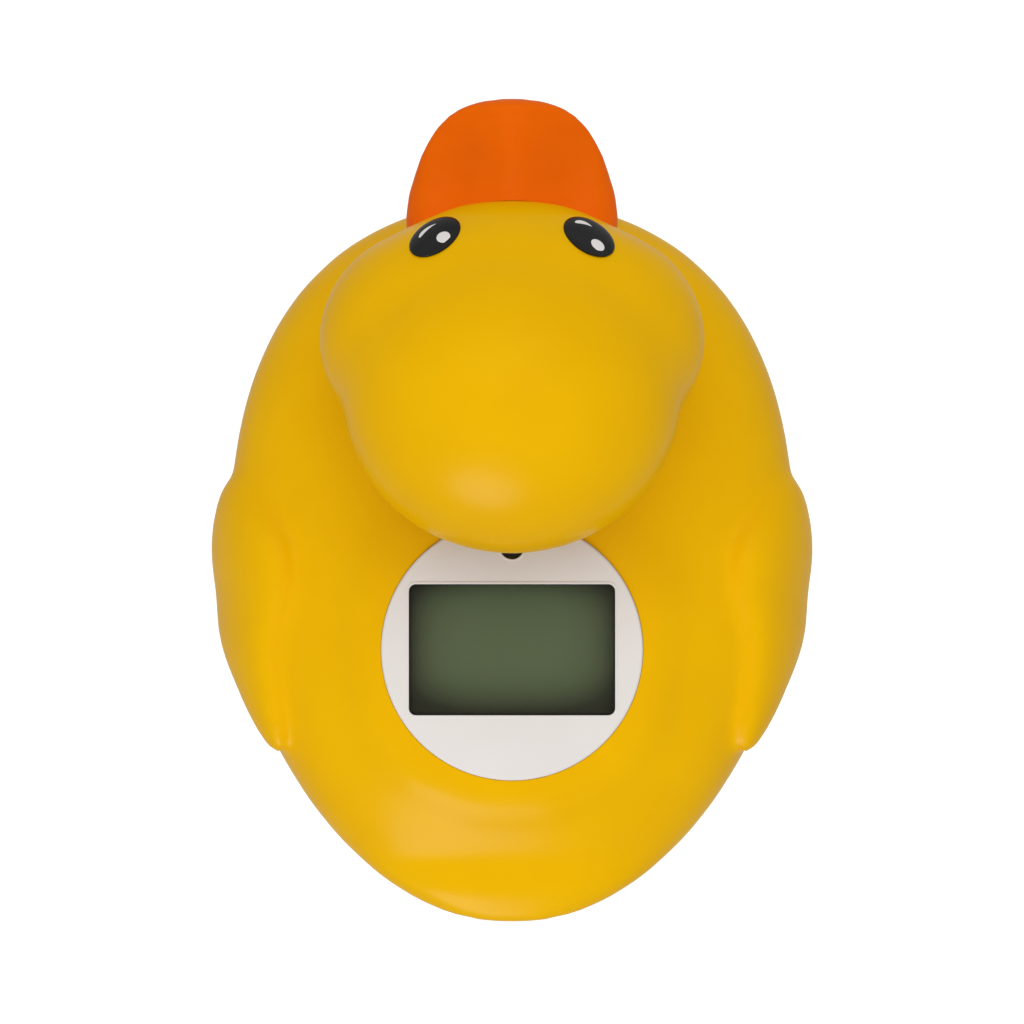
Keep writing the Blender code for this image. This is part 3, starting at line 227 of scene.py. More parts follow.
def lineAt(points, place):
    # value at a place on a smooth line through (place, value) points
    if place <= points[0][0]:
        return points[0][1]
    if place >= points[-1][0]:
        return points[-1][1]
    last = len(points) - 1
    index = max(i for i in range(last) if points[i][0] <= place)
    before, v0 = points[max(index - 1, 0)]
    start, v1 = points[index]
    end, v2 = points[index + 1]
    after, v3 = points[min(index + 2, last)]
    span = end - start
    share = (place - start) / span
    slope1 = (v2 - v0) / (end - before) * span
    slope2 = (v3 - v1) / (after - start) * span
    a = 2 * v1 - 2 * v2 + slope1 + slope2
    b = -3 * v1 + 3 * v2 - 2 * slope1 - slope2
    return ((a * share + b) * share + slope1) * share + v1


# materials
paintSet = {
    "yellow_plastic": {"tone": (0.81, 0.442, 0.0), "shade": (0.79, 0.425, 0.0), "rough": 0.28, "shine": 0.045},
    "orange_plastic": {"tone": (0.84, 0.132, 0.0), "shade": (0.81, 0.124, 0.0), "rough": 0.30, "shine": 0.045},
    "white_plastic": {"tone": (0.74, 0.71, 0.685), "shade": (0.725, 0.695, 0.67), "rough": 0.4, "shine": 0.15},
    "black_gloss": {"tone": (0.014, 0.014, 0.015), "shade": (0.009, 0.009, 0.009),
                    "rough": 0.24, "shine": 0.12},
    "black_resin": {"tone": (0.022, 0.022, 0.022), "shade": (0.015, 0.015, 0.015), "rough": 0.6, "shine": 0.3},
    "lead_jacket": {"tone": (0.03, 0.03, 0.03), "shade": (0.02, 0.02, 0.02), "rough": 0.5, "shine": 0.3},
    "board_green": {"tone": (0.02, 0.14, 0.05), "shade": (0.015, 0.11, 0.04), "rough": 0.5, "shine": 0.4},
    "black_rubber": {"tone": (0.03, 0.03, 0.03), "shade": (0.022, 0.022, 0.022), "rough": 0.8, "shine": 0.3},
    "bright_steel": {"tone": (0.62, 0.62, 0.62), "shade": (0.5, 0.5, 0.5),
                     "rough": 0.25, "shine": 0.5, "metal": 1.0},
    "contact_brass": {"tone": (0.75, 0.66, 0.42), "shade": (0.66, 0.57, 0.35),
                      "rough": 0.3, "shine": 0.5, "metal": 1.0},
    "red_lens": {"tone": (0.35, 0.02, 0.02), "shade": (0.25, 0.01, 0.01), "rough": 0.2, "shine": 0.5},
    "mouldSize": 90, "grainSize": 2600, "grainDepth": 0.02,
}


def link(material, start, end):
    material.node_tree.links.new(start, end)


def newNode(material, kind, **values):
    node = material.node_tree.nodes.new(kind)
    for name, value in values.items():
        setattr(node, name, value)
    return node


def mouldedPaint(name, look):
    # a soft drift between two near tones, and a very fine grain
    material = bpy.data.materials.new(name)
    material.use_nodes = True
    shader = material.node_tree.nodes["Principled BSDF"]
    shader.inputs["Roughness"].default_value = look["rough"]
    shader.inputs["Specular IOR Level"].default_value = look["shine"]
    shader.inputs["Metallic"].default_value = look.get("metal", 0.0)
    place = newNode(material, "ShaderNodeTexCoord")
    drift = newNode(material, "ShaderNodeTexNoise")
    drift.inputs["Scale"].default_value = paintSet["mouldSize"]
    ramp = newNode(material, "ShaderNodeValToRGB")
    ramp.color_ramp.elements[0].position = 0.35
    ramp.color_ramp.elements[0].color = (*look["shade"], 1)
    ramp.color_ramp.elements[1].position = 0.65
    ramp.color_ramp.elements[1].color = (*look["tone"], 1)
    grain = newNode(material, "ShaderNodeTexNoise")
    grain.inputs["Scale"].default_value = paintSet["grainSize"]
    bump = newNode(material, "ShaderNodeBump")
    bump.inputs["Strength"].default_value = paintSet["grainDepth"]
    bump.inputs["Distance"].default_value = 0.0001
    link(material, place.outputs["Object"], drift.inputs["Vector"])
    link(material, place.outputs["Object"], grain.inputs["Vector"])
    link(material, drift.outputs["Fac"], ramp.inputs["Fac"])
    link(material, ramp.outputs["Color"], shader.inputs["Base Color"])
    link(material, grain.outputs["Fac"], bump.inputs["Height"])
    link(material, bump.outputs["Normal"], shader.inputs["Normal"])
    return material


paints = {name: mouldedPaint(name, look) for name, look in paintSet.items() if isinstance(look, dict)}

# the edge tone and where it starts are painted shade from the window's walls; the centre tone is the glass's
# own colour
lcdSet = {
    "middle": (0.0, 0.0170), "reach": (0.0160, 0.0101),
    "centre": (0.112, 0.146, 0.074), "edge": (0.042, 0.042, 0.026), "rough": 0.5, "shine": 0.05,
    "squareness": 3.2, "paintedShadeAt": 0.95,
}


def lcdPaint():
    # blank olive glass with painted shade that darkens it towards its edges, where the window's walls would
    # shade it
    material = bpy.data.materials.new("lcd_glass")
    material.use_nodes = True
    shader = material.node_tree.nodes["Principled BSDF"]
    shader.inputs["Roughness"].default_value = lcdSet["rough"]
    shader.inputs["Specular IOR Level"].default_value = lcdSet["shine"]
    place = newNode(material, "ShaderNodeTexCoord")
    fit = newNode(material, "ShaderNodeMapping", vector_type="TEXTURE")
    fit.inputs["Location"].default_value = (*lcdSet["middle"], 0)
    fit.inputs["Scale"].default_value = (*lcdSet["reach"], 1)
    split = newNode(material, "ShaderNodeSeparateXYZ")
    link(material, place.outputs["Object"], fit.inputs["Vector"])
    link(material, fit.outputs["Vector"], split.inputs["Vector"])
    powers = []
    for axis in ("X", "Y"):
        size = newNode(material, "ShaderNodeMath", operation="ABSOLUTE")
        power = newNode(material, "ShaderNodeMath", operation="POWER")
        power.inputs[1].default_value = lcdSet["squareness"]
        link(material, split.outputs[axis], size.inputs[0])
        link(material, size.outputs[0], power.inputs[0])
        powers.append(power)
    total = newNode(material, "ShaderNodeMath", operation="ADD")
    link(material, powers[0].outputs[0], total.inputs[0])
    link(material, powers[1].outputs[0], total.inputs[1])
    ramp = newNode(material, "ShaderNodeValToRGB")
    ramp.color_ramp.interpolation = "EASE"
    ramp.color_ramp.elements[0].color = (*lcdSet["centre"], 1)
    # painted shade: the glass darkens towards its rim
    ramp.color_ramp.elements[1].color = (*lcdSet["edge"], 1)
    ramp.color_ramp.elements[1].position = lcdSet["paintedShadeAt"]
    link(material, total.outputs[0], ramp.inputs["Fac"])
    link(material, ramp.outputs["Color"], shader.inputs["Base Color"])
    return material


def windowPaint():
    # clear plastic that lets nearly all light through, a shade duller in places
    material = mouldedPaint("clear_window", {
        "tone": (0.10, 0.12, 0.10), "shade": (0.08, 0.10, 0.08), "rough": 0.3, "shine": 0.1})
    material.node_tree.nodes["Principled BSDF"].inputs["Alpha"].default_value = 0.04
    return material


paints["lcd_glass"] = lcdPaint()
paints["clear_window"] = windowPaint()


def dress(piece, paint, node=None):
    # paint, gloss and place in the frame of a finished new piece
    if not piece.data.materials:
        piece.data.materials.append(paints[paint])
    focus(piece)
    bpy.ops.object.shade_smooth_by_angle(angle=math.radians(35))
    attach(piece, "root")
    if node:
        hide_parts(node)


# body
bodySet = {
    "chest": -0.0444, "widest": 0.0080, "tail": 0.0557, "halfWidth": 0.0399,
    "rim": 0.0250, "back": 0.0444, "keel": 0.0030, "tailSolid": 0.0070,
    "frontPlan": (2.62, 2.245), "rearPlan": (1.68, 2.02),
    "upperSquare": 2.35, "lowerSquare": 2.5, "tailLift": 0.0120, "chestLift": 0.0020,
    "rearClosing": 10, "frontClosing": 4.5, "keelClosing": 3.4, "hollowClosing": 12,
    "partLine": 0.0195, "gap": 0.0003, "wall": 0.0024, "roof": 0.0415,
    "grid": (64, 56), "hollowGrid": (48, 32), "voxel": 0.0006, "smoothRounds": 28,
}
neckSet = {
    "middle": (0.0, -0.018409), "halfWidth": 0.0165, "halfLength": 0.0170, "top": 0.0449, "blend": 0.0075,
}
discSet = {
    "middle": (0.0, 0.0177), "radius": 0.017609, "seat": 0.0185, "level": 0.0445, "blend": 0.0080,
    "top": 0.0450, "floor": 0.0430, "edge": 0.0004, "sides": 160,
    "window": (0.0277, 0.0176), "corner": 0.00095, "ledge": 0.0437,
    "sight": (0.0274, 0.0173), "sightCorner": 0.0008, "cutFloor": 0.0400,
    "lens": (0.0, 0.00319), "lensRadius": 0.0022, "lensRoof": 0.00004,
    "spy": (0.0, 0.00394), "spyRadius": 0.0016,
    "lipGrow": 0.0007, "lipCorner": 0.0013, "spyLip": 0.0003, "lipHeight": 0.0001, "lipRound": 0.00008,
}
wingSet = {
    "front": -0.0062, "tip": 0.0326, "tilt": math.radians(26), "grid": (32, 36), "closing": (3.6, 0.45),
    "out": [(0.0, 0.0374), (0.2, 0.0360), (0.4, 0.0356), (0.6, 0.0365), (0.8, 0.0347), (1.0, 0.0323)],
    "up": [(0.0, 0.0305), (0.3, 0.0306), (0.6, 0.0310), (1.0, 0.0345)],
    "height": [(0.0, 0.0086), (0.3, 0.0116), (0.6, 0.0088), (0.8, 0.0062), (1.0, 0.0046)],
    "thickness": [(0.0, 0.0046), (0.3, 0.0053), (0.6, 0.0031), (0.8, 0.0026), (1.0, 0.0020)],
}
screwSpots = [(side * 0.026, y) for y in (-0.016, 0.025) for side in (1, -1)]
boardSpots = [(side * 0.01925, y) for y in (0.0287, 0.00419) for side in (1, -1)]


def bodyShare(y):
    end = bodySet["tail"] if y > bodySet["widest"] else bodySet["chest"]
    return min(abs(y - bodySet["widest"]) / abs(end - bodySet["widest"]), 1.0)


def bodyHalfWidth(y):
    end, side = bodySet["rearPlan"] if y > bodySet["widest"] else bodySet["frontPlan"]
    return bodySet["halfWidth"] * (1 - bodyShare(y) ** end) ** (1 / side)


def rimHeight(y):
    share = bodyShare(y)
    if y > bodySet["widest"]:
        return bodySet["rim"] + bodySet["tailLift"] * share ** 4
    return bodySet["rim"] + bodySet["chestLift"] * share ** 2


def bodyRise(y):
    tail, back = bodySet["tail"], bodySet["back"]
    line = lineAt([
        (bodySet["chest"], back - 0.0020), (-0.0184, back), (0.0325, back), (0.0410, back - 0.0022),
        (tail - 0.0088, back - 0.0045), (tail - 0.0048, back - 0.0036), (tail - 0.0020, back - 0.0042),
        (tail, back - 0.0052),
    ], y)
    closing = bodySet["rearClosing"] if y > bodySet["widest"] else bodySet["frontClosing"]
    return (line - rimHeight(y)) * (1 - bodyShare(y) ** closing) ** 0.5


def bodyDrop(y):
    chest, keel, rim = bodySet["chest"], bodySet["keel"], bodySet["rim"]
    length = bodySet["tail"] - chest
    line = lineAt([
        (chest, rim * 0.40), (chest + length * 0.18, -keel * 0.6), (bodySet["widest"], -keel),
        (chest + length * 0.74, -keel * 0.3), (chest + length * 0.90, rim * 0.44),
        (bodySet["tail"], rim * 1.04),
    ], y)
    return (rimHeight(y) - line) * (1 - bodyShare(y) ** bodySet["keelClosing"]) ** 0.5


def squareOff(piece, upperPower, lowerPower):
    # fills the round section out to a squarer one, one lengthwise line of points at a time
    def columnOf(co):
        if math.hypot(co.x, co.z) < 0.001:
            return None
        return round(math.atan2(abs(co.z), abs(co.x)), 3), co.z > 0

    columns = groupBy(piece, columnOf)
    bpy.ops.object.mode_set(mode="EDIT")
    for column, chosen in columns.items():
        if column is None:
            continue
        angle = min(column[0], math.pi / 2)
        power = upperPower if column[1] else lowerPower
        fill = (math.cos(angle) ** power + math.sin(angle) ** power) ** (-1 / power)
        pick(piece, chosen)
        bpy.ops.transform.resize(value=(fill, 1, fill), center_override=(0, 0, 0))
    bpy.ops.object.mode_set(mode="OBJECT")


def shapeRings(piece, ringSize):
    # ringSize(share of the length) gives y, half width, rise, drop and middle height of each ring
    rings = groupBy(piece, lambda co: round(co.y, 4))
    upper = {key: [i for i in ring if piece.data.vertices[i].co.z > 0.0001] for key, ring in rings.items()}
    lower = {key: [i for i in ring if piece.data.vertices[i].co.z < -0.0001] for key, ring in rings.items()}
    bpy.ops.object.mode_set(mode="EDIT")
    for lengthwise, ring in rings.items():
        y, halfWidth, rise, drop, middle = ringSize(lengthwise)
        turn = math.sqrt(max(1 - lengthwise ** 2, 0))
        if turn > 0.001:
            centre = (0, lengthwise, 0)
            pick(piece, ring)
            bpy.ops.transform.resize(value=(halfWidth / turn, 1, 1), center_override=centre)
            pick(piece, upper[lengthwise])
            bpy.ops.transform.resize(value=(1, 1, rise / turn), center_override=centre)
            pick(piece, lower[lengthwise])
            bpy.ops.transform.resize(value=(1, 1, drop / turn), center_override=centre)
        pick(piece, ring)
        bpy.ops.transform.translate(value=(0, y - lengthwise, middle))
    bpy.ops.object.mode_set(mode="OBJECT")


def makeBodyForm(name, inset=0.0):
    # the closed body, or the same form drawn in by inset
    body = makeBall(name, *bodySet["hollowGrid" if inset else "grid"])
    squareOff(body, bodySet["upperSquare"], bodySet["lowerSquare"])

    def ringSize(lengthwise):
        rear = bodySet["tail"] - (max(inset, bodySet["tailSolid"]) if inset else 0)
        end = rear if lengthwise > 0 else bodySet["chest"] + inset
        y = bodySet["widest"] + (end - bodySet["widest"]) * abs(lengthwise)
        closing = (1 - min(abs(lengthwise), 1) ** bodySet["hollowClosing"]) ** 0.5 if inset else 1
        return (y, (bodyHalfWidth(y) - inset) * closing, (bodyRise(y) - inset) * closing,
                (bodyDrop(y) - inset) * closing, rimHeight(y))

    shapeRings(body, ringSize)
    return body


def levelBack(body):
    # the back is pressed up level round the display and under the neck
    focus(body)
    bpy.ops.object.mode_set(mode="EDIT")
    bpy.ops.mesh.select_all(action="SELECT")
    bpy.ops.mesh.subdivide(number_cuts=1, smoothness=0)
    bpy.ops.object.mode_set(mode="OBJECT")

    def onDisc(co):
        return co.z > bodySet["rim"] and math.hypot(co.x, co.y - discSet["middle"][1]) < discSet["seat"]

    def onNeck(co):
        oval = math.hypot(co.x / neckSet["halfWidth"], (co.y - neckSet["middle"][1]) / neckSet["halfLength"])
        return co.z > bodySet["rim"] and oval < 1

    for test, level, blend in (
            (onDisc, discSet["level"], discSet["blend"]), (onNeck, neckSet["top"], neckSet["blend"])):
        chosen = [v.index for v in body.data.vertices if test(v.co)]
        bpy.ops.object.mode_set(mode="EDIT")
        pick(body, chosen)
        bpy.ops.transform.resize(
            value=(1, 1, 0.01), center_override=(0, 0, level), use_proportional_edit=True,
            proportional_edit_falloff="SMOOTH", proportional_size=blend)
        bpy.ops.object.mode_set(mode="OBJECT")


def makeWing(side):
    wing = makeBall("wing", *wingSet["grid"])
    power, root = wingSet["closing"]
    rings = groupBy(wing, lambda co: round(co.y, 4))
    bpy.ops.object.mode_set(mode="EDIT")
    for lengthwise, ring in rings.items():
        along = (1 + lengthwise) / 2
        y = wingSet["front"] + along * (wingSet["tip"] - wingSet["front"])
        turn = math.sqrt(max(1 - lengthwise ** 2, 0)) or 1
        end = max(1 - abs(lengthwise) ** power, 0) ** root / turn
        pick(wing, ring)
        bpy.ops.transform.resize(
            value=(lineAt(wingSet["thickness"], along) * end, 1, lineAt(wingSet["height"], along) * end),
            center_override=(0, lengthwise, 0))
        bpy.ops.transform.rotate(
            value=side * wingSet["tilt"], orient_axis="Y", center_override=(0, lengthwise, 0))
        bpy.ops.transform.translate(
            value=(side * lineAt(wingSet["out"], along), y - lengthwise, lineAt(wingSet["up"], along)))
    bpy.ops.object.mode_set(mode="OBJECT")
    return wing


upperSet = {
    "frameSpace": ((0.0345, 0.0244), 0.0375, 0.0450),
    "pocketPlay": 0.00005, "pocketFloor": 0.0427, "above": 0.0600,
    "opening": ((0.0280, 0.0179), 0.0375, 0.0500, 0.00095), "lightHole": (0.0021, 0.0375, 0.0500),
    "pillar": (0.0029, 0.0128, 0.0366, 32), "post": (0.0020, 0.0373, 0.0409, 32),
    "spigot": (0.0144, 0.0420, 0.0486, 96, 0.0149),
    "pilot": (0.0016, 0.0085, 0.0220, 24), "postPilot": (0.0012, 0.0354, 0.0404, 24),
    "neckBore": (0.0126, 0.0452, 0.0526, 96, 0.0131),
    # where the opening's walls get painted shade
    "paintedShadeSide": 0.0146, "paintedShadeAlong": (0.0005, 0.0272), "paintedShadeHeight": (0.0400, 0.0428),
}


def finishUpper(skin):
    # hollow, display pocket, neck spigot, pillars and posts of the upper moulding
    trim(skin, bodySet["partLine"] + bodySet["gap"] / 2, True)
    hollow = makeBodyForm("upperHollow", bodySet["wall"])
    combine(hollow, blockAt(upperSet, "frameSpace", discSet["middle"]), "UNION")
    trim(hollow, bodySet["roof"], False)
    combine(skin, hollow, "DIFFERENCE")
    pocket = makeRod("pocket", discSet["radius"] + upperSet["pocketPlay"], upperSet["pocketFloor"],
                     upperSet["above"], discSet["middle"], discSet["sides"])
    combine(skin, pocket, "DIFFERENCE")
    openings = [blockAt(upperSet, "opening", discSet["middle"])]
    openings += rodsAt(upperSet, "lightHole", [discSet["lens"]])
    combine(skin, gather(openings), "DIFFERENCE")
    posts = rodsAt(upperSet, "pillar", screwSpots) + rodsAt(upperSet, "post", boardSpots)
    posts += rodsAt(upperSet, "spigot", [neckSet["middle"]])
    combine(skin, gather(posts), "UNION")
    pilots = rodsAt(upperSet, "pilot", screwSpots) + rodsAt(upperSet, "postPilot", boardSpots)
    pilots += rodsAt(upperSet, "neckBore", [neckSet["middle"]])
    combine(skin, gather(pilots), "DIFFERENCE")
    # painted shade: what shows of the opening's walls below the disc is painted dark, in place of the shade
    # inside the recess
    skin.data.materials.append(paints["yellow_plastic"])
    skin.data.materials.append(paints["black_resin"])
    front, rear = upperSet["paintedShadeAlong"]
    low, high = upperSet["paintedShadeHeight"]
    for face in skin.data.polygons:
        x, y, z = face.center
        inOpening = abs(x) < upperSet["paintedShadeSide"] and front < y < rear and low < z < high
        if inOpening and abs(face.normal.z) < 0.5:
            face.material_index = 1


hullSet = {
    "bay": (0.0, 0.0080), "doorScrew": (0.0, 0.0190), "probe": (0.0, -0.0140),
    "pins": [(0.010, -0.0140), (-0.010, -0.0140)], "leads": [(0.0064, 0.0080), (-0.0064, 0.0080)],
    "rebateFloor": 0.01785,
    "bayPad": ((0.0338, 0.0210), 0.0012, 0.0039, 0.0028),
    "bayBox": ((0.0278, 0.0150), 0.0024, 0.0110, 0.0014),
    "cellSpace": ((0.0250, 0.0122), -0.004, 0.0096, 0.0058),
    "doorWell": ((0.0316, 0.0188), -0.004, 0.0025, 0.0021),
    "pillar": (0.0043, 0.0, 0.0125, 32), "doorBoss": (0.0026, 0.0024, 0.0086, 32),
    "doorPilot": (0.0013, -0.004, 0.0072, 24), "probeHole": (0.0038, -0.004, 0.0070, 48),
    "shankHole": (0.0016, -0.004, 0.0165, 24), "pinHole": (0.0013, -0.004, 0.0070, 24),
    "tabWell": (0.0049, -0.004, 0.0025, 48), "probeRecess": (0.0050, -0.004, 0.0012, 64),
    "headWell": (0.0027, -0.004, 0.0075, 48), "pinRecess": (0.0023, -0.004, 0.0012, 32),
    "leadHole": (0.0008, 0.0086, 0.0150, 16),
}


def finishLower(skin):
    # hollow, battery bay, wells and probe holes of the hull
    bay, doorScrew, probe = hullSet["bay"], hullSet["doorScrew"], hullSet["probe"]
    trim(skin, bodySet["partLine"] - bodySet["gap"] / 2, False)
    trim(skin, 0.0, True)
    hollow = makeBodyForm("lowerHollow", bodySet["wall"])
    trim(hollow, bodySet["wall"], True)
    combine(skin, hollow, "DIFFERENCE")
    rebate = makeBodyForm("rebate", bodySet["wall"] / 2)
    trim(rebate, hullSet["rebateFloor"], True)
    combine(skin, rebate, "DIFFERENCE")
    combine(skin, blockAt(hullSet, "bayPad", bay), "UNION")
    inside = makeBodyForm("inside", bodySet["wall"] / 2)
    pillars = gather(rodsAt(hullSet, "pillar", screwSpots))
    combine(pillars, inside, "INTERSECT")
    boxes = [blockAt(hullSet, "bayBox", bay), *rodsAt(hullSet, "doorBoss", [doorScrew]), pillars]
    combine(skin, gather(boxes), "UNION")
    deep = [blockAt(hullSet, "cellSpace", bay), *rodsAt(hullSet, "doorPilot", [doorScrew])]
    deep += rodsAt(hullSet, "probeHole", [probe])
    deep += rodsAt(hullSet, "shankHole", screwSpots)
    deep += rodsAt(hullSet, "pinHole", hullSet["pins"])
    combine(skin, gather(deep), "DIFFERENCE")
    doorWell = blockAt(hullSet, "doorWell", bay)
    combine(doorWell, rodsAt(hullSet, "tabWell", [doorScrew])[0], "UNION")
    wells = [doorWell, *rodsAt(hullSet, "probeRecess", [probe])]
    wells += rodsAt(hullSet, "headWell", screwSpots)
    wells += rodsAt(hullSet, "pinRecess", hullSet["pins"])
    wells += rodsAt(hullSet, "leadHole", hullSet["leads"])
    combine(skin, gather(wells), "DIFFERENCE")


print("body: shaping")
wholeBody = makeBodyForm("upperSkin")
levelBack(wholeBody)
upperSkin = fuse([wholeBody, makeWing(1), makeWing(-1)], "upperSkin", bodySet["voxel"],
                 bodySet["smoothRounds"])
lowerSkin = duplicate(upperSkin, "lowerSkin")
finishUpper(upperSkin)
finishLower(lowerSkin)
dress(upperSkin, "yellow_plastic", "upper_shell")
dress(lowerSkin, "yellow_plastic", "lower_shell")
print("body: upper", len(upperSkin.data.polygons), "lower", len(lowerSkin.data.polygons), "faces")


# head, bill and eyes
headSet = {
    "cheekMiddle": (0.0, -0.0232, 0.0570), "cheekReach": (0.0252, 0.0181, 0.0167),
    "crownMiddle": (0.0, -0.015809, 0.0610), "crownReach": (0.0218, 0.02045, 0.01775),
    "bridgeMiddle": (0.0, -0.0196, 0.0590), "bridgeReach": (0.0232, 0.0160, 0.0176),
    "core": (0.0, -0.018409, 0.0600), "seat": 0.0452, "neck": (0.0430, 0.0580),
    "voxel": 0.0005, "smoothRounds": 90,
    "drawBack": 0.0006, "drawReach": 0.0080, "drawAhead": -0.030, "drawSide": 0.0140,
    "drawWidth": 0.0008, "drawHeight": (0.0545, 0.0595),
    "wall": 0.0024, "hollowVoxel": 0.0008, "hollowRounds": 12, "hollowFloor": 0.0480,
    "neckBore": (0.0147, 0.0412, 0.0489, 96, 0.0152), "eyePlay": 0.00003,
    "keySlot": ((0.0136, 0.0146), 0.0501, 0.0543),
}
keySpot = (0.0, -0.0380)


def makeHeadForm(name, inset, voxel, rounds):
    ovals = []
    for form in ("cheek", "crown", "bridge"):
        reach = tuple(size - inset for size in headSet[form + "Reach"])
        ovals.append(makeOval(form, headSet[form + "Middle"], reach))
    neck = makeRod("neck", neckSet["halfWidth"] - inset, *headSet["neck"], neckSet["middle"], 96,
                   neckSet["halfLength"] - inset)
    head = fuse([*ovals, neck], name, voxel, rounds)
    # the front corners of the cheeks are drawn back from the bill
    low, high = headSet["drawHeight"]
    for side in (1, -1):
        nudge(head, lambda co: (co.y < headSet["drawAhead"] and low < co.z < high
                                and abs(co.x - side * headSet["drawSide"]) < headSet["drawWidth"]),
              (0, headSet["drawBack"], 0), headSet["drawReach"])
    return head


def finishHead(skin):
    # hollow, neck bore, slot for the bill's key and eye pockets
    trim(skin, headSet["seat"], True)
    hollow = makeHeadForm("headHollow", headSet["wall"], headSet["hollowVoxel"], headSet["hollowRounds"])
    trim(hollow, headSet["hollowFloor"], True)
    combine(hollow, rodsAt(headSet, "neckBore", [neckSet["middle"]])[0], "UNION")
    combine(skin, hollow, "DIFFERENCE")
    combine(skin, blockAt(headSet, "keySlot", keySpot), "DIFFERENCE")
    for side in (1, -1):
        pocket = placeAt(makeEyeForm("eyePocket", side, headSet["eyePlay"]), eyeFrame(side))
        combine(skin, pocket, "DIFFERENCE")


billSet = {
    "tip": -0.0547, "length": 0.0317, "height": 0.0522, "grid": (120, 60), "square": (2.15, 2.3),
    "width": [(0, 0), (0.00005, 0.0014), (0.0002, 0.0028), (0.00045, 0.0042), (0.0008, 0.00565),
              (0.0016, 0.00743), (0.0024, 0.00860), (0.0040, 0.01008), (0.0056, 0.01110), (0.0072, 0.01192),
              (0.0088, 0.01252), (0.0104, 0.01305), (0.0119, 0.01350), (0.0134, 0.01374), (0.0160, 0.01392),
              (0.0240, 0.0125), (0.0300, 0.0060), (0.0320, 0.0)],
    "rise": [(0, 0), (0.00005, 0.0005), (0.0002, 0.0010), (0.00045, 0.00145), (0.0008, 0.00185),
             (0.0016, 0.0023), (0.0032, 0.0027), (0.0060, 0.0031), (0.0100, 0.0040), (0.0160, 0.0054),
             (0.0240, 0.0056), (0.0300, 0.0030), (0.0320, 0.0)],
    "drop": [(0, 0), (0.00005, 0.0005), (0.0002, 0.0010), (0.00045, 0.0015), (0.0008, 0.0019),
             (0.0016, 0.0025), (0.0032, 0.0030), (0.0060, 0.0037), (0.0100, 0.0045), (0.0160, 0.0054),
             (0.0240, 0.0056), (0.0300, 0.0030), (0.0320, 0.0)],
    "topLayer": 0.0015,
    "ridge": 0.0011, "ridgeReach": 0.0048, "ridgeStart": -0.0520, "ridgeWidth": 0.0006,
    "flank": 0.0010, "flankReach": 0.0040, "flankStart": -0.0500, "flankWidth": 0.0007, "flankSide": 0.0080,
    "mouthShare": (0.945, 0.952, 1.0), "mouthMiddle": -0.0390,
    "tipLifts": [(0.0024, 0.0130, 0.0015), (0.0010, 0.0025, 0.0010)],  # height, reach, length of the tip
    "seatGrow": 1.003, "key": ((0.0130, 0.0140), 0.0504, 0.0540),
}


def makeBill(headForm):
    bill = makeBall("billSkin", *billSet["grid"])
    squareOff(bill, *billSet["square"])

    def ringSize(lengthwise):
        along = billSet["length"] * (1 + lengthwise) / 2
        return (billSet["tip"] + along, lineAt(billSet["width"], along), lineAt(billSet["rise"], along),
                lineAt(billSet["drop"], along), billSet["height"])

    shapeRings(bill, ringSize)
    mouthLine = [v.index for v in bill.data.vertices if abs(v.co.z - billSet["height"]) < 0.00001]
    top = billSet["height"] + billSet["topLayer"]

    def onRidge(co):
        return co.z > top and abs(co.x) < billSet["ridgeWidth"] and co.y > billSet["ridgeStart"]

    def onFlank(co):
        offSide = abs(abs(co.x) - billSet["flankSide"])
        return co.z > top and offSide < billSet["flankWidth"] and co.y > billSet["flankStart"]

    nudge(bill, onRidge, (0, 0, billSet["ridge"]), billSet["ridgeReach"])
    nudge(bill, onFlank, (0, 0, -billSet["flank"]), billSet["flankReach"])
    # the mouth is a narrow groove round the edge
    bpy.ops.object.mode_set(mode="EDIT")
    pick(bill, mouthLine)
    bpy.ops.transform.resize(
        value=billSet["mouthShare"], center_override=(0, billSet["mouthMiddle"], billSet["height"]))
    bpy.ops.object.mode_set(mode="OBJECT")
    for height, reach, length in billSet["tipLifts"]:
        end = billSet["tip"] + length
        nudge(bill, lambda co: co.y < end, (0, 0, height), reach)
    seat = duplicate(headForm, "billSeat")
    bpy.ops.object.mode_set(mode="EDIT")
    bpy.ops.mesh.select_all(action="SELECT")
    bpy.ops.transform.resize(value=(billSet["seatGrow"],) * 3, center_override=headSet["core"])
    bpy.ops.object.mode_set(mode="OBJECT")
    combine(bill, seat, "DIFFERENCE")
    combine(bill, blockAt(billSet, "key", keySpot), "UNION")
    return bill


eyeSet = {
    "point": (0.0099, -0.03597, 0.06717), "turn": 0.40,
    "out": (0.292, -0.705, 0.647), "across": (0.9388, 0.0821, -0.3344),
    "size": (0.00315, 0.00387, 0.00080), "sink": 0.00044, "markDepth": 0.002, "markLift": 0.00002,
    "left": {"dot": (-0.00160, 0.00110, 0.00087, 0.00097, 0.0),
             "stroke": (0.00158, 0.00048, 0.00014, -0.00146), "bow": 0.00034, "width": (0.00042, 0.00015)},
    "right": {"dot": (-0.00047, 0.00228, 0.00080, 0.00098, 0.60),
              "stroke": (0.00138, -0.00180, 0.00000, -0.00128), "bow": -0.00034, "width": (0.00058, 0.00015)},
}


def eyeFrame(side):
    # the eye's own axes: X across, Y up the face, Z out of the skin
    x, y, z = eyeSet["point"]
    out = Vector((side * eyeSet["out"][0], *eyeSet["out"][1:])).normalized()
    across = Vector(eyeSet["across"])
    if side < 0:
        across = Vector((across.x, -across.y, -across.z))
    across = (across - out * across.dot(out)).normalized()
    axes = Matrix((across, out.cross(across), out)).transposed().to_4x4()
    return Matrix.Translation((side * x, y, z)) @ axes


def placeAt(piece, matrix):
    piece.matrix_world = matrix
    settle(piece)
    return piece


def makeEyeForm(name, side, more):
    form = makeOval(name, (0, 0, -eyeSet["sink"]), tuple(v + more for v in eyeSet["size"]))
    return placeAt(form, Matrix.Rotation(-side * eyeSet["turn"], 4, "Z"))


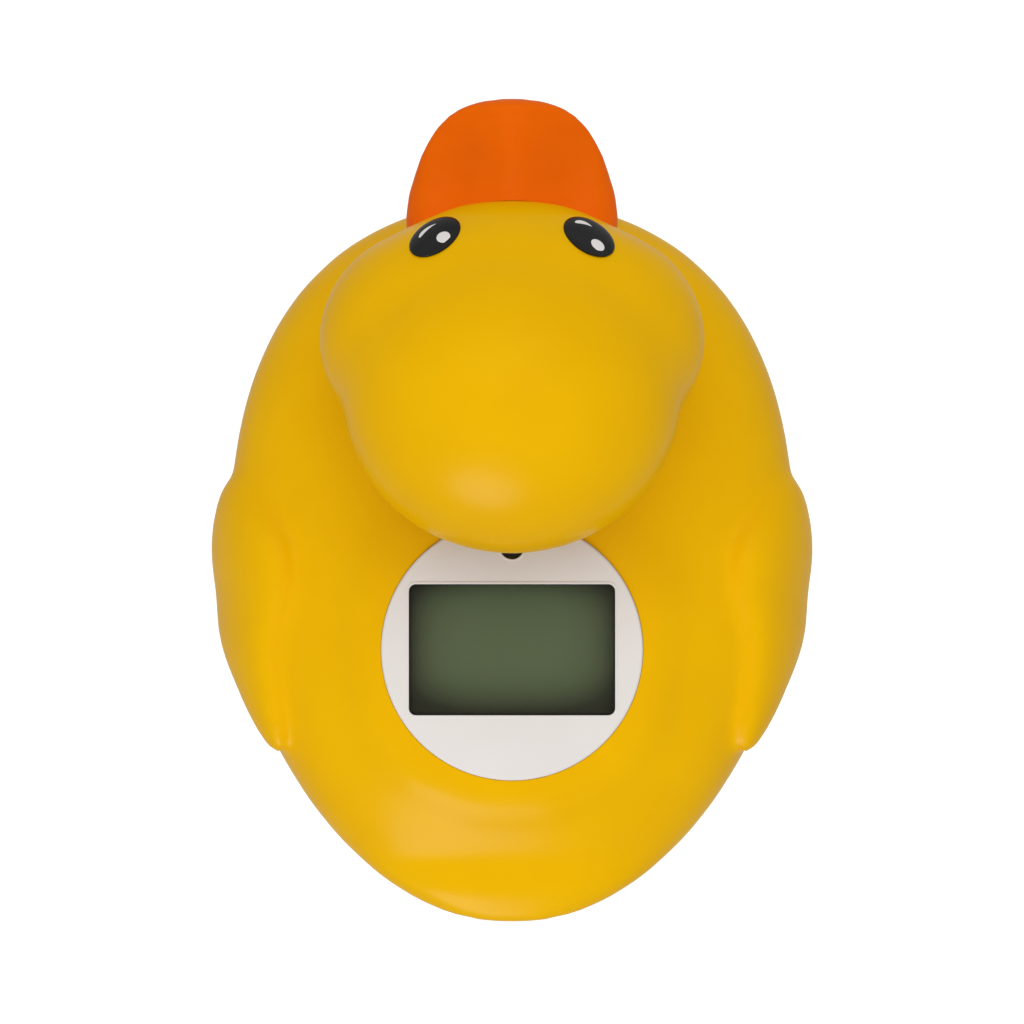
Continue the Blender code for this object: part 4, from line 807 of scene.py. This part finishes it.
def makeStroke(values):
    # a comma: thick and round at its start, thin at its end, bowed outwards
    startX, startY, endX, endY = values["stroke"]
    thick, thin = values["width"]
    length = math.hypot(endX - startX, endY - startY)
    stroke = makeRod("stroke", 1, 0.0, eyeSet["markDepth"], (0, 0), 48)
    columns = groupBy(stroke, lambda co: round(co.x, 4))
    bpy.ops.object.mode_set(mode="EDIT")
    for place, column in columns.items():
        share = (1 + place) / 2
        taper = thick + (thin - thick) * share
        pick(stroke, column)
        bpy.ops.transform.resize(value=(1, taper, 1), center_override=(0, 0, 0))
        bpy.ops.transform.translate(value=(0, -values["bow"] * (1 - place * place), 0))
    bpy.ops.mesh.select_all(action="SELECT")
    bpy.ops.transform.resize(value=(length / 2 + (thick + thin) / 2, 1, 1), center_override=(0, 0, 0))
    bpy.ops.object.mode_set(mode="OBJECT")
    middle = ((startX + endX) / 2, (startY + endY) / 2, 0)
    turn = math.atan2(endY - startY, endX - startX)
    flip = -1 if values is eyeSet["left"] else 1
    return placeAt(
        stroke, Matrix.Translation(middle) @ Matrix.Rotation(turn, 4, "Z") @ Matrix.Diagonal((1, flip, 1, 1)))


def makeEye(side, word):
    # a low dark dome let into the skin, with two white inlays
    place = eyeFrame(side)
    values = eyeSet[word]
    eye = makeEyeForm(f"{word}Eye", side, 0)
    dotX, dotY, dotWide, dotHigh, dotTurn = values["dot"]
    dot = makeRod("dot", dotWide, 0.0, eyeSet["markDepth"], (0, 0), 48, dotHigh)
    placeAt(dot, Matrix.Translation((dotX, dotY, 0)) @ Matrix.Rotation(dotTurn, 4, "Z"))
    marks = gather([dot, makeStroke(values)])
    focus(marks)
    bpy.ops.object.mode_set(mode="EDIT")
    bpy.ops.mesh.select_all(action="SELECT")
    bpy.ops.mesh.normals_make_consistent(inside=False)
    bpy.ops.object.mode_set(mode="OBJECT")
    inlay = makeEyeForm(f"{word}EyeMarks", side, eyeSet["markLift"])
    combine(inlay, duplicate(marks, "markShape"), "INTERSECT")
    combine(eye, marks, "DIFFERENCE")
    placeAt(eye, place)
    placeAt(inlay, place)
    return eye, inlay


print("head: shaping")
headSkin = makeHeadForm("headSkin", 0.0, headSet["voxel"], headSet["smoothRounds"])
billSkin = makeBill(headSkin)
leftEye, leftMarks = makeEye(1, "left")
rightEye, rightMarks = makeEye(-1, "right")
finishHead(headSkin)
dress(headSkin, "yellow_plastic", "head_shell")
dress(billSkin, "orange_plastic", "bill")
dress(leftEye, "black_gloss", "left_eye")
dress(rightEye, "black_gloss", "right_eye")
dress(leftMarks, "white_plastic")
dress(rightMarks, "white_plastic")
print("head:", len(headSkin.data.polygons), "bill:", len(billSkin.data.polygons), "faces")


# display
def bevelRim(piece, test, width, segments):
    focus(piece)
    bpy.ops.object.mode_set(mode="EDIT")
    pickEdges(piece, lambda edge: all(test(v.co) for v in edge.verts) and edge.calc_face_angle(0) > 0.8)
    bpy.ops.mesh.bevel(offset=width, segments=segments, affect="EDGES")
    bpy.ops.mesh.select_mode(type="VERT")
    bpy.ops.object.mode_set(mode="OBJECT")


def makeBezel():
    top, middle = discSet["top"], discSet["middle"]
    length, width = discSet["window"]
    cutFloor, cutTop = discSet["cutFloor"], top + 0.002
    bezel = makeRod("bezel", discSet["radius"], discSet["floor"], top, middle, discSet["sides"])
    bevelRim(bezel, lambda co: co.z > top - 0.0001, discSet["edge"], 4)
    lipFloor, lipTop = top - 0.001, top + discSet["lipHeight"]
    lipSize = (length + discSet["lipGrow"], width + discSet["lipGrow"])
    lip = makeBlock("windowLip", lipSize, lipFloor, lipTop, middle, discSet["lipCorner"])
    ring = makeRod("lensLip", discSet["spyRadius"] + discSet["spyLip"], lipFloor, lipTop, discSet["spy"])
    combine(bezel, gather([lip, ring]), "UNION")
    seat = makeBlock("windowSeat", (length, width), discSet["ledge"], cutTop, middle, discSet["corner"])
    spy = makeRod("spyHole", discSet["spyRadius"], cutFloor, cutTop, discSet["spy"])
    combine(bezel, gather([seat, spy]), "DIFFERENCE")
    lens = makeRod("lensHole", discSet["lensRadius"], cutFloor, top - discSet["lensRoof"], discSet["lens"])
    combine(bezel, lens, "DIFFERENCE")
    sight = makeBlock("sight", discSet["sight"], cutFloor, top, middle, discSet["sightCorner"])
    combine(bezel, sight, "DIFFERENCE")
    bevelRim(bezel, lambda co: co.z > top + discSet["lipHeight"] / 2, discSet["lipRound"], 2)
    # painted shade: the walls of the window and of the round hole are painted dark, in place of the shade
    # inside them
    bezel.data.materials.append(paints["white_plastic"])
    bezel.data.materials.append(paints["black_resin"])
    for face in bezel.data.polygons:
        x, y, z = face.center
        inWindow = abs(x) < length / 2 + 0.0001 and abs(y - middle[1]) < width / 2 + 0.0001
        inHole = math.hypot(x, y - discSet["lens"][1]) < discSet["lensRadius"] + 0.0003
        if (inWindow or inHole) and z < top - 0.0001:
            face.material_index = 1
    return bezel


print("display: shaping")
bezelSkin = makeBezel()
dress(bezelSkin, "white_plastic", "display_bezel")
for name, piece in nodes.items():
    for place, old in enumerate(piece.data.materials):
        kind = old.name.split(".")[0]
        if kind in paints:
            piece.data.materials[place] = paints[kind]
        else:
            print("no paint for", name, kind)


# camera
cameraSet = {"lens": 100, "sensor": 36, "height": 0.427, "along": -0.0008}

bpy.ops.object.camera_add(location=(0, cameraSet["along"], cameraSet["height"]), rotation=(0, 0, math.pi))
camera = bpy.context.object
camera.data.lens = cameraSet["lens"]
camera.data.sensor_width = cameraSet["sensor"]
camera.data.clip_start = 0.01
bpy.context.scene.camera = camera


# floor and light
lightSet = {
    "world": 0.575, "background": 1.0, "floor": 0.6, "floorLift": 0.66, "floorSize": 6, "floorDrop": 0.00005,
    "aim": (0.0, 0.0, 0.04),
    "top": {"direction": (-0.03, -0.40, 0.92), "distance": 1.0, "size": (0.9, 0.9), "power": 4.2,
            "mirrored": False},
    "key": {"direction": (0.16, 0.80, 0.58), "distance": 0.6, "size": (0.30, 0.36), "power": 1.05,
            "mirrored": False},
    "sheen": {"direction": (0.243, 0.882, 0.401), "distance": 0.6, "size": (0.36, 0.30), "power": 3.0,
              "lighting": False},
}


def makeFloor():
    bpy.ops.object.select_all(action="DESELECT")
    bpy.ops.mesh.primitive_plane_add(size=lightSet["floorSize"], location=(0, 0, -lightSet["floorDrop"]))
    floor = bpy.context.object
    floor.name = "floor"
    paint = bpy.data.materials.new("floorPaint")
    paint.use_nodes = True
    shader = paint.node_tree.nodes["Principled BSDF"]
    shader.inputs["Base Color"].default_value = (*[lightSet["floor"]] * 3, 1)
    shader.inputs["Roughness"].default_value = 0.9
    shader.inputs["Specular IOR Level"].default_value = 0.0
    shader.inputs["Emission Color"].default_value = (1, 1, 1, 1)
    rays = newNode(paint, "ShaderNodeLightPath")
    lift = newNode(paint, "ShaderNodeMath", operation="MULTIPLY")
    lift.inputs[1].default_value = lightSet["floorLift"]
    link(paint, rays.outputs["Is Camera Ray"], lift.inputs[0])
    link(paint, lift.outputs[0], shader.inputs["Emission Strength"])
    floor.data.materials.append(paint)


def makeSurroundings():
    # white where it is seen or mirrored, softer as a light
    world = bpy.data.worlds.new("studio")
    bpy.context.scene.world = world
    world.use_nodes = True
    tree = world.node_tree
    background = tree.nodes["Background"]
    background.inputs["Color"].default_value = (1, 1, 1, 1)
    rays = tree.nodes.new("ShaderNodeLightPath")
    previous = rays.outputs["Is Camera Ray"]
    for kind in ("Is Glossy Ray", "Is Transmission Ray"):
        either = tree.nodes.new("ShaderNodeMath")
        either.operation = "MAXIMUM"
        tree.links.new(previous, either.inputs[0])
        tree.links.new(rays.outputs[kind], either.inputs[1])
        previous = either.outputs[0]
    level = tree.nodes.new("ShaderNodeMapRange")
    level.inputs["To Min"].default_value = lightSet["world"]
    level.inputs["To Max"].default_value = lightSet["background"]
    tree.links.new(previous, level.inputs["Value"])
    tree.links.new(level.outputs[0], background.inputs["Strength"])


def makeSoftbox(name, values):
    direction = Vector(values["direction"]).normalized()
    place = Vector(lightSet["aim"]) + direction * values["distance"]
    bpy.ops.object.light_add(type="AREA", location=place)
    lamp = bpy.context.object
    lamp.name = name
    lamp.data.shape = "ELLIPSE"
    lamp.data.size, lamp.data.size_y = values["size"]
    lamp.data.energy = values["power"]
    lamp.visible_glossy = values.get("mirrored", True)
    lamp.visible_diffuse = values.get("lighting", True)
    lamp.rotation_mode = "QUATERNION"
    lamp.rotation_quaternion = direction.to_track_quat("Z", "Y")


makeFloor()
makeSurroundings()
for name in ("top", "key", "sheen"):
    makeSoftbox(f"{name}Box", lightSet[name])
bpy.context.scene.view_settings.view_transform = "Standard"
print("stage: set")
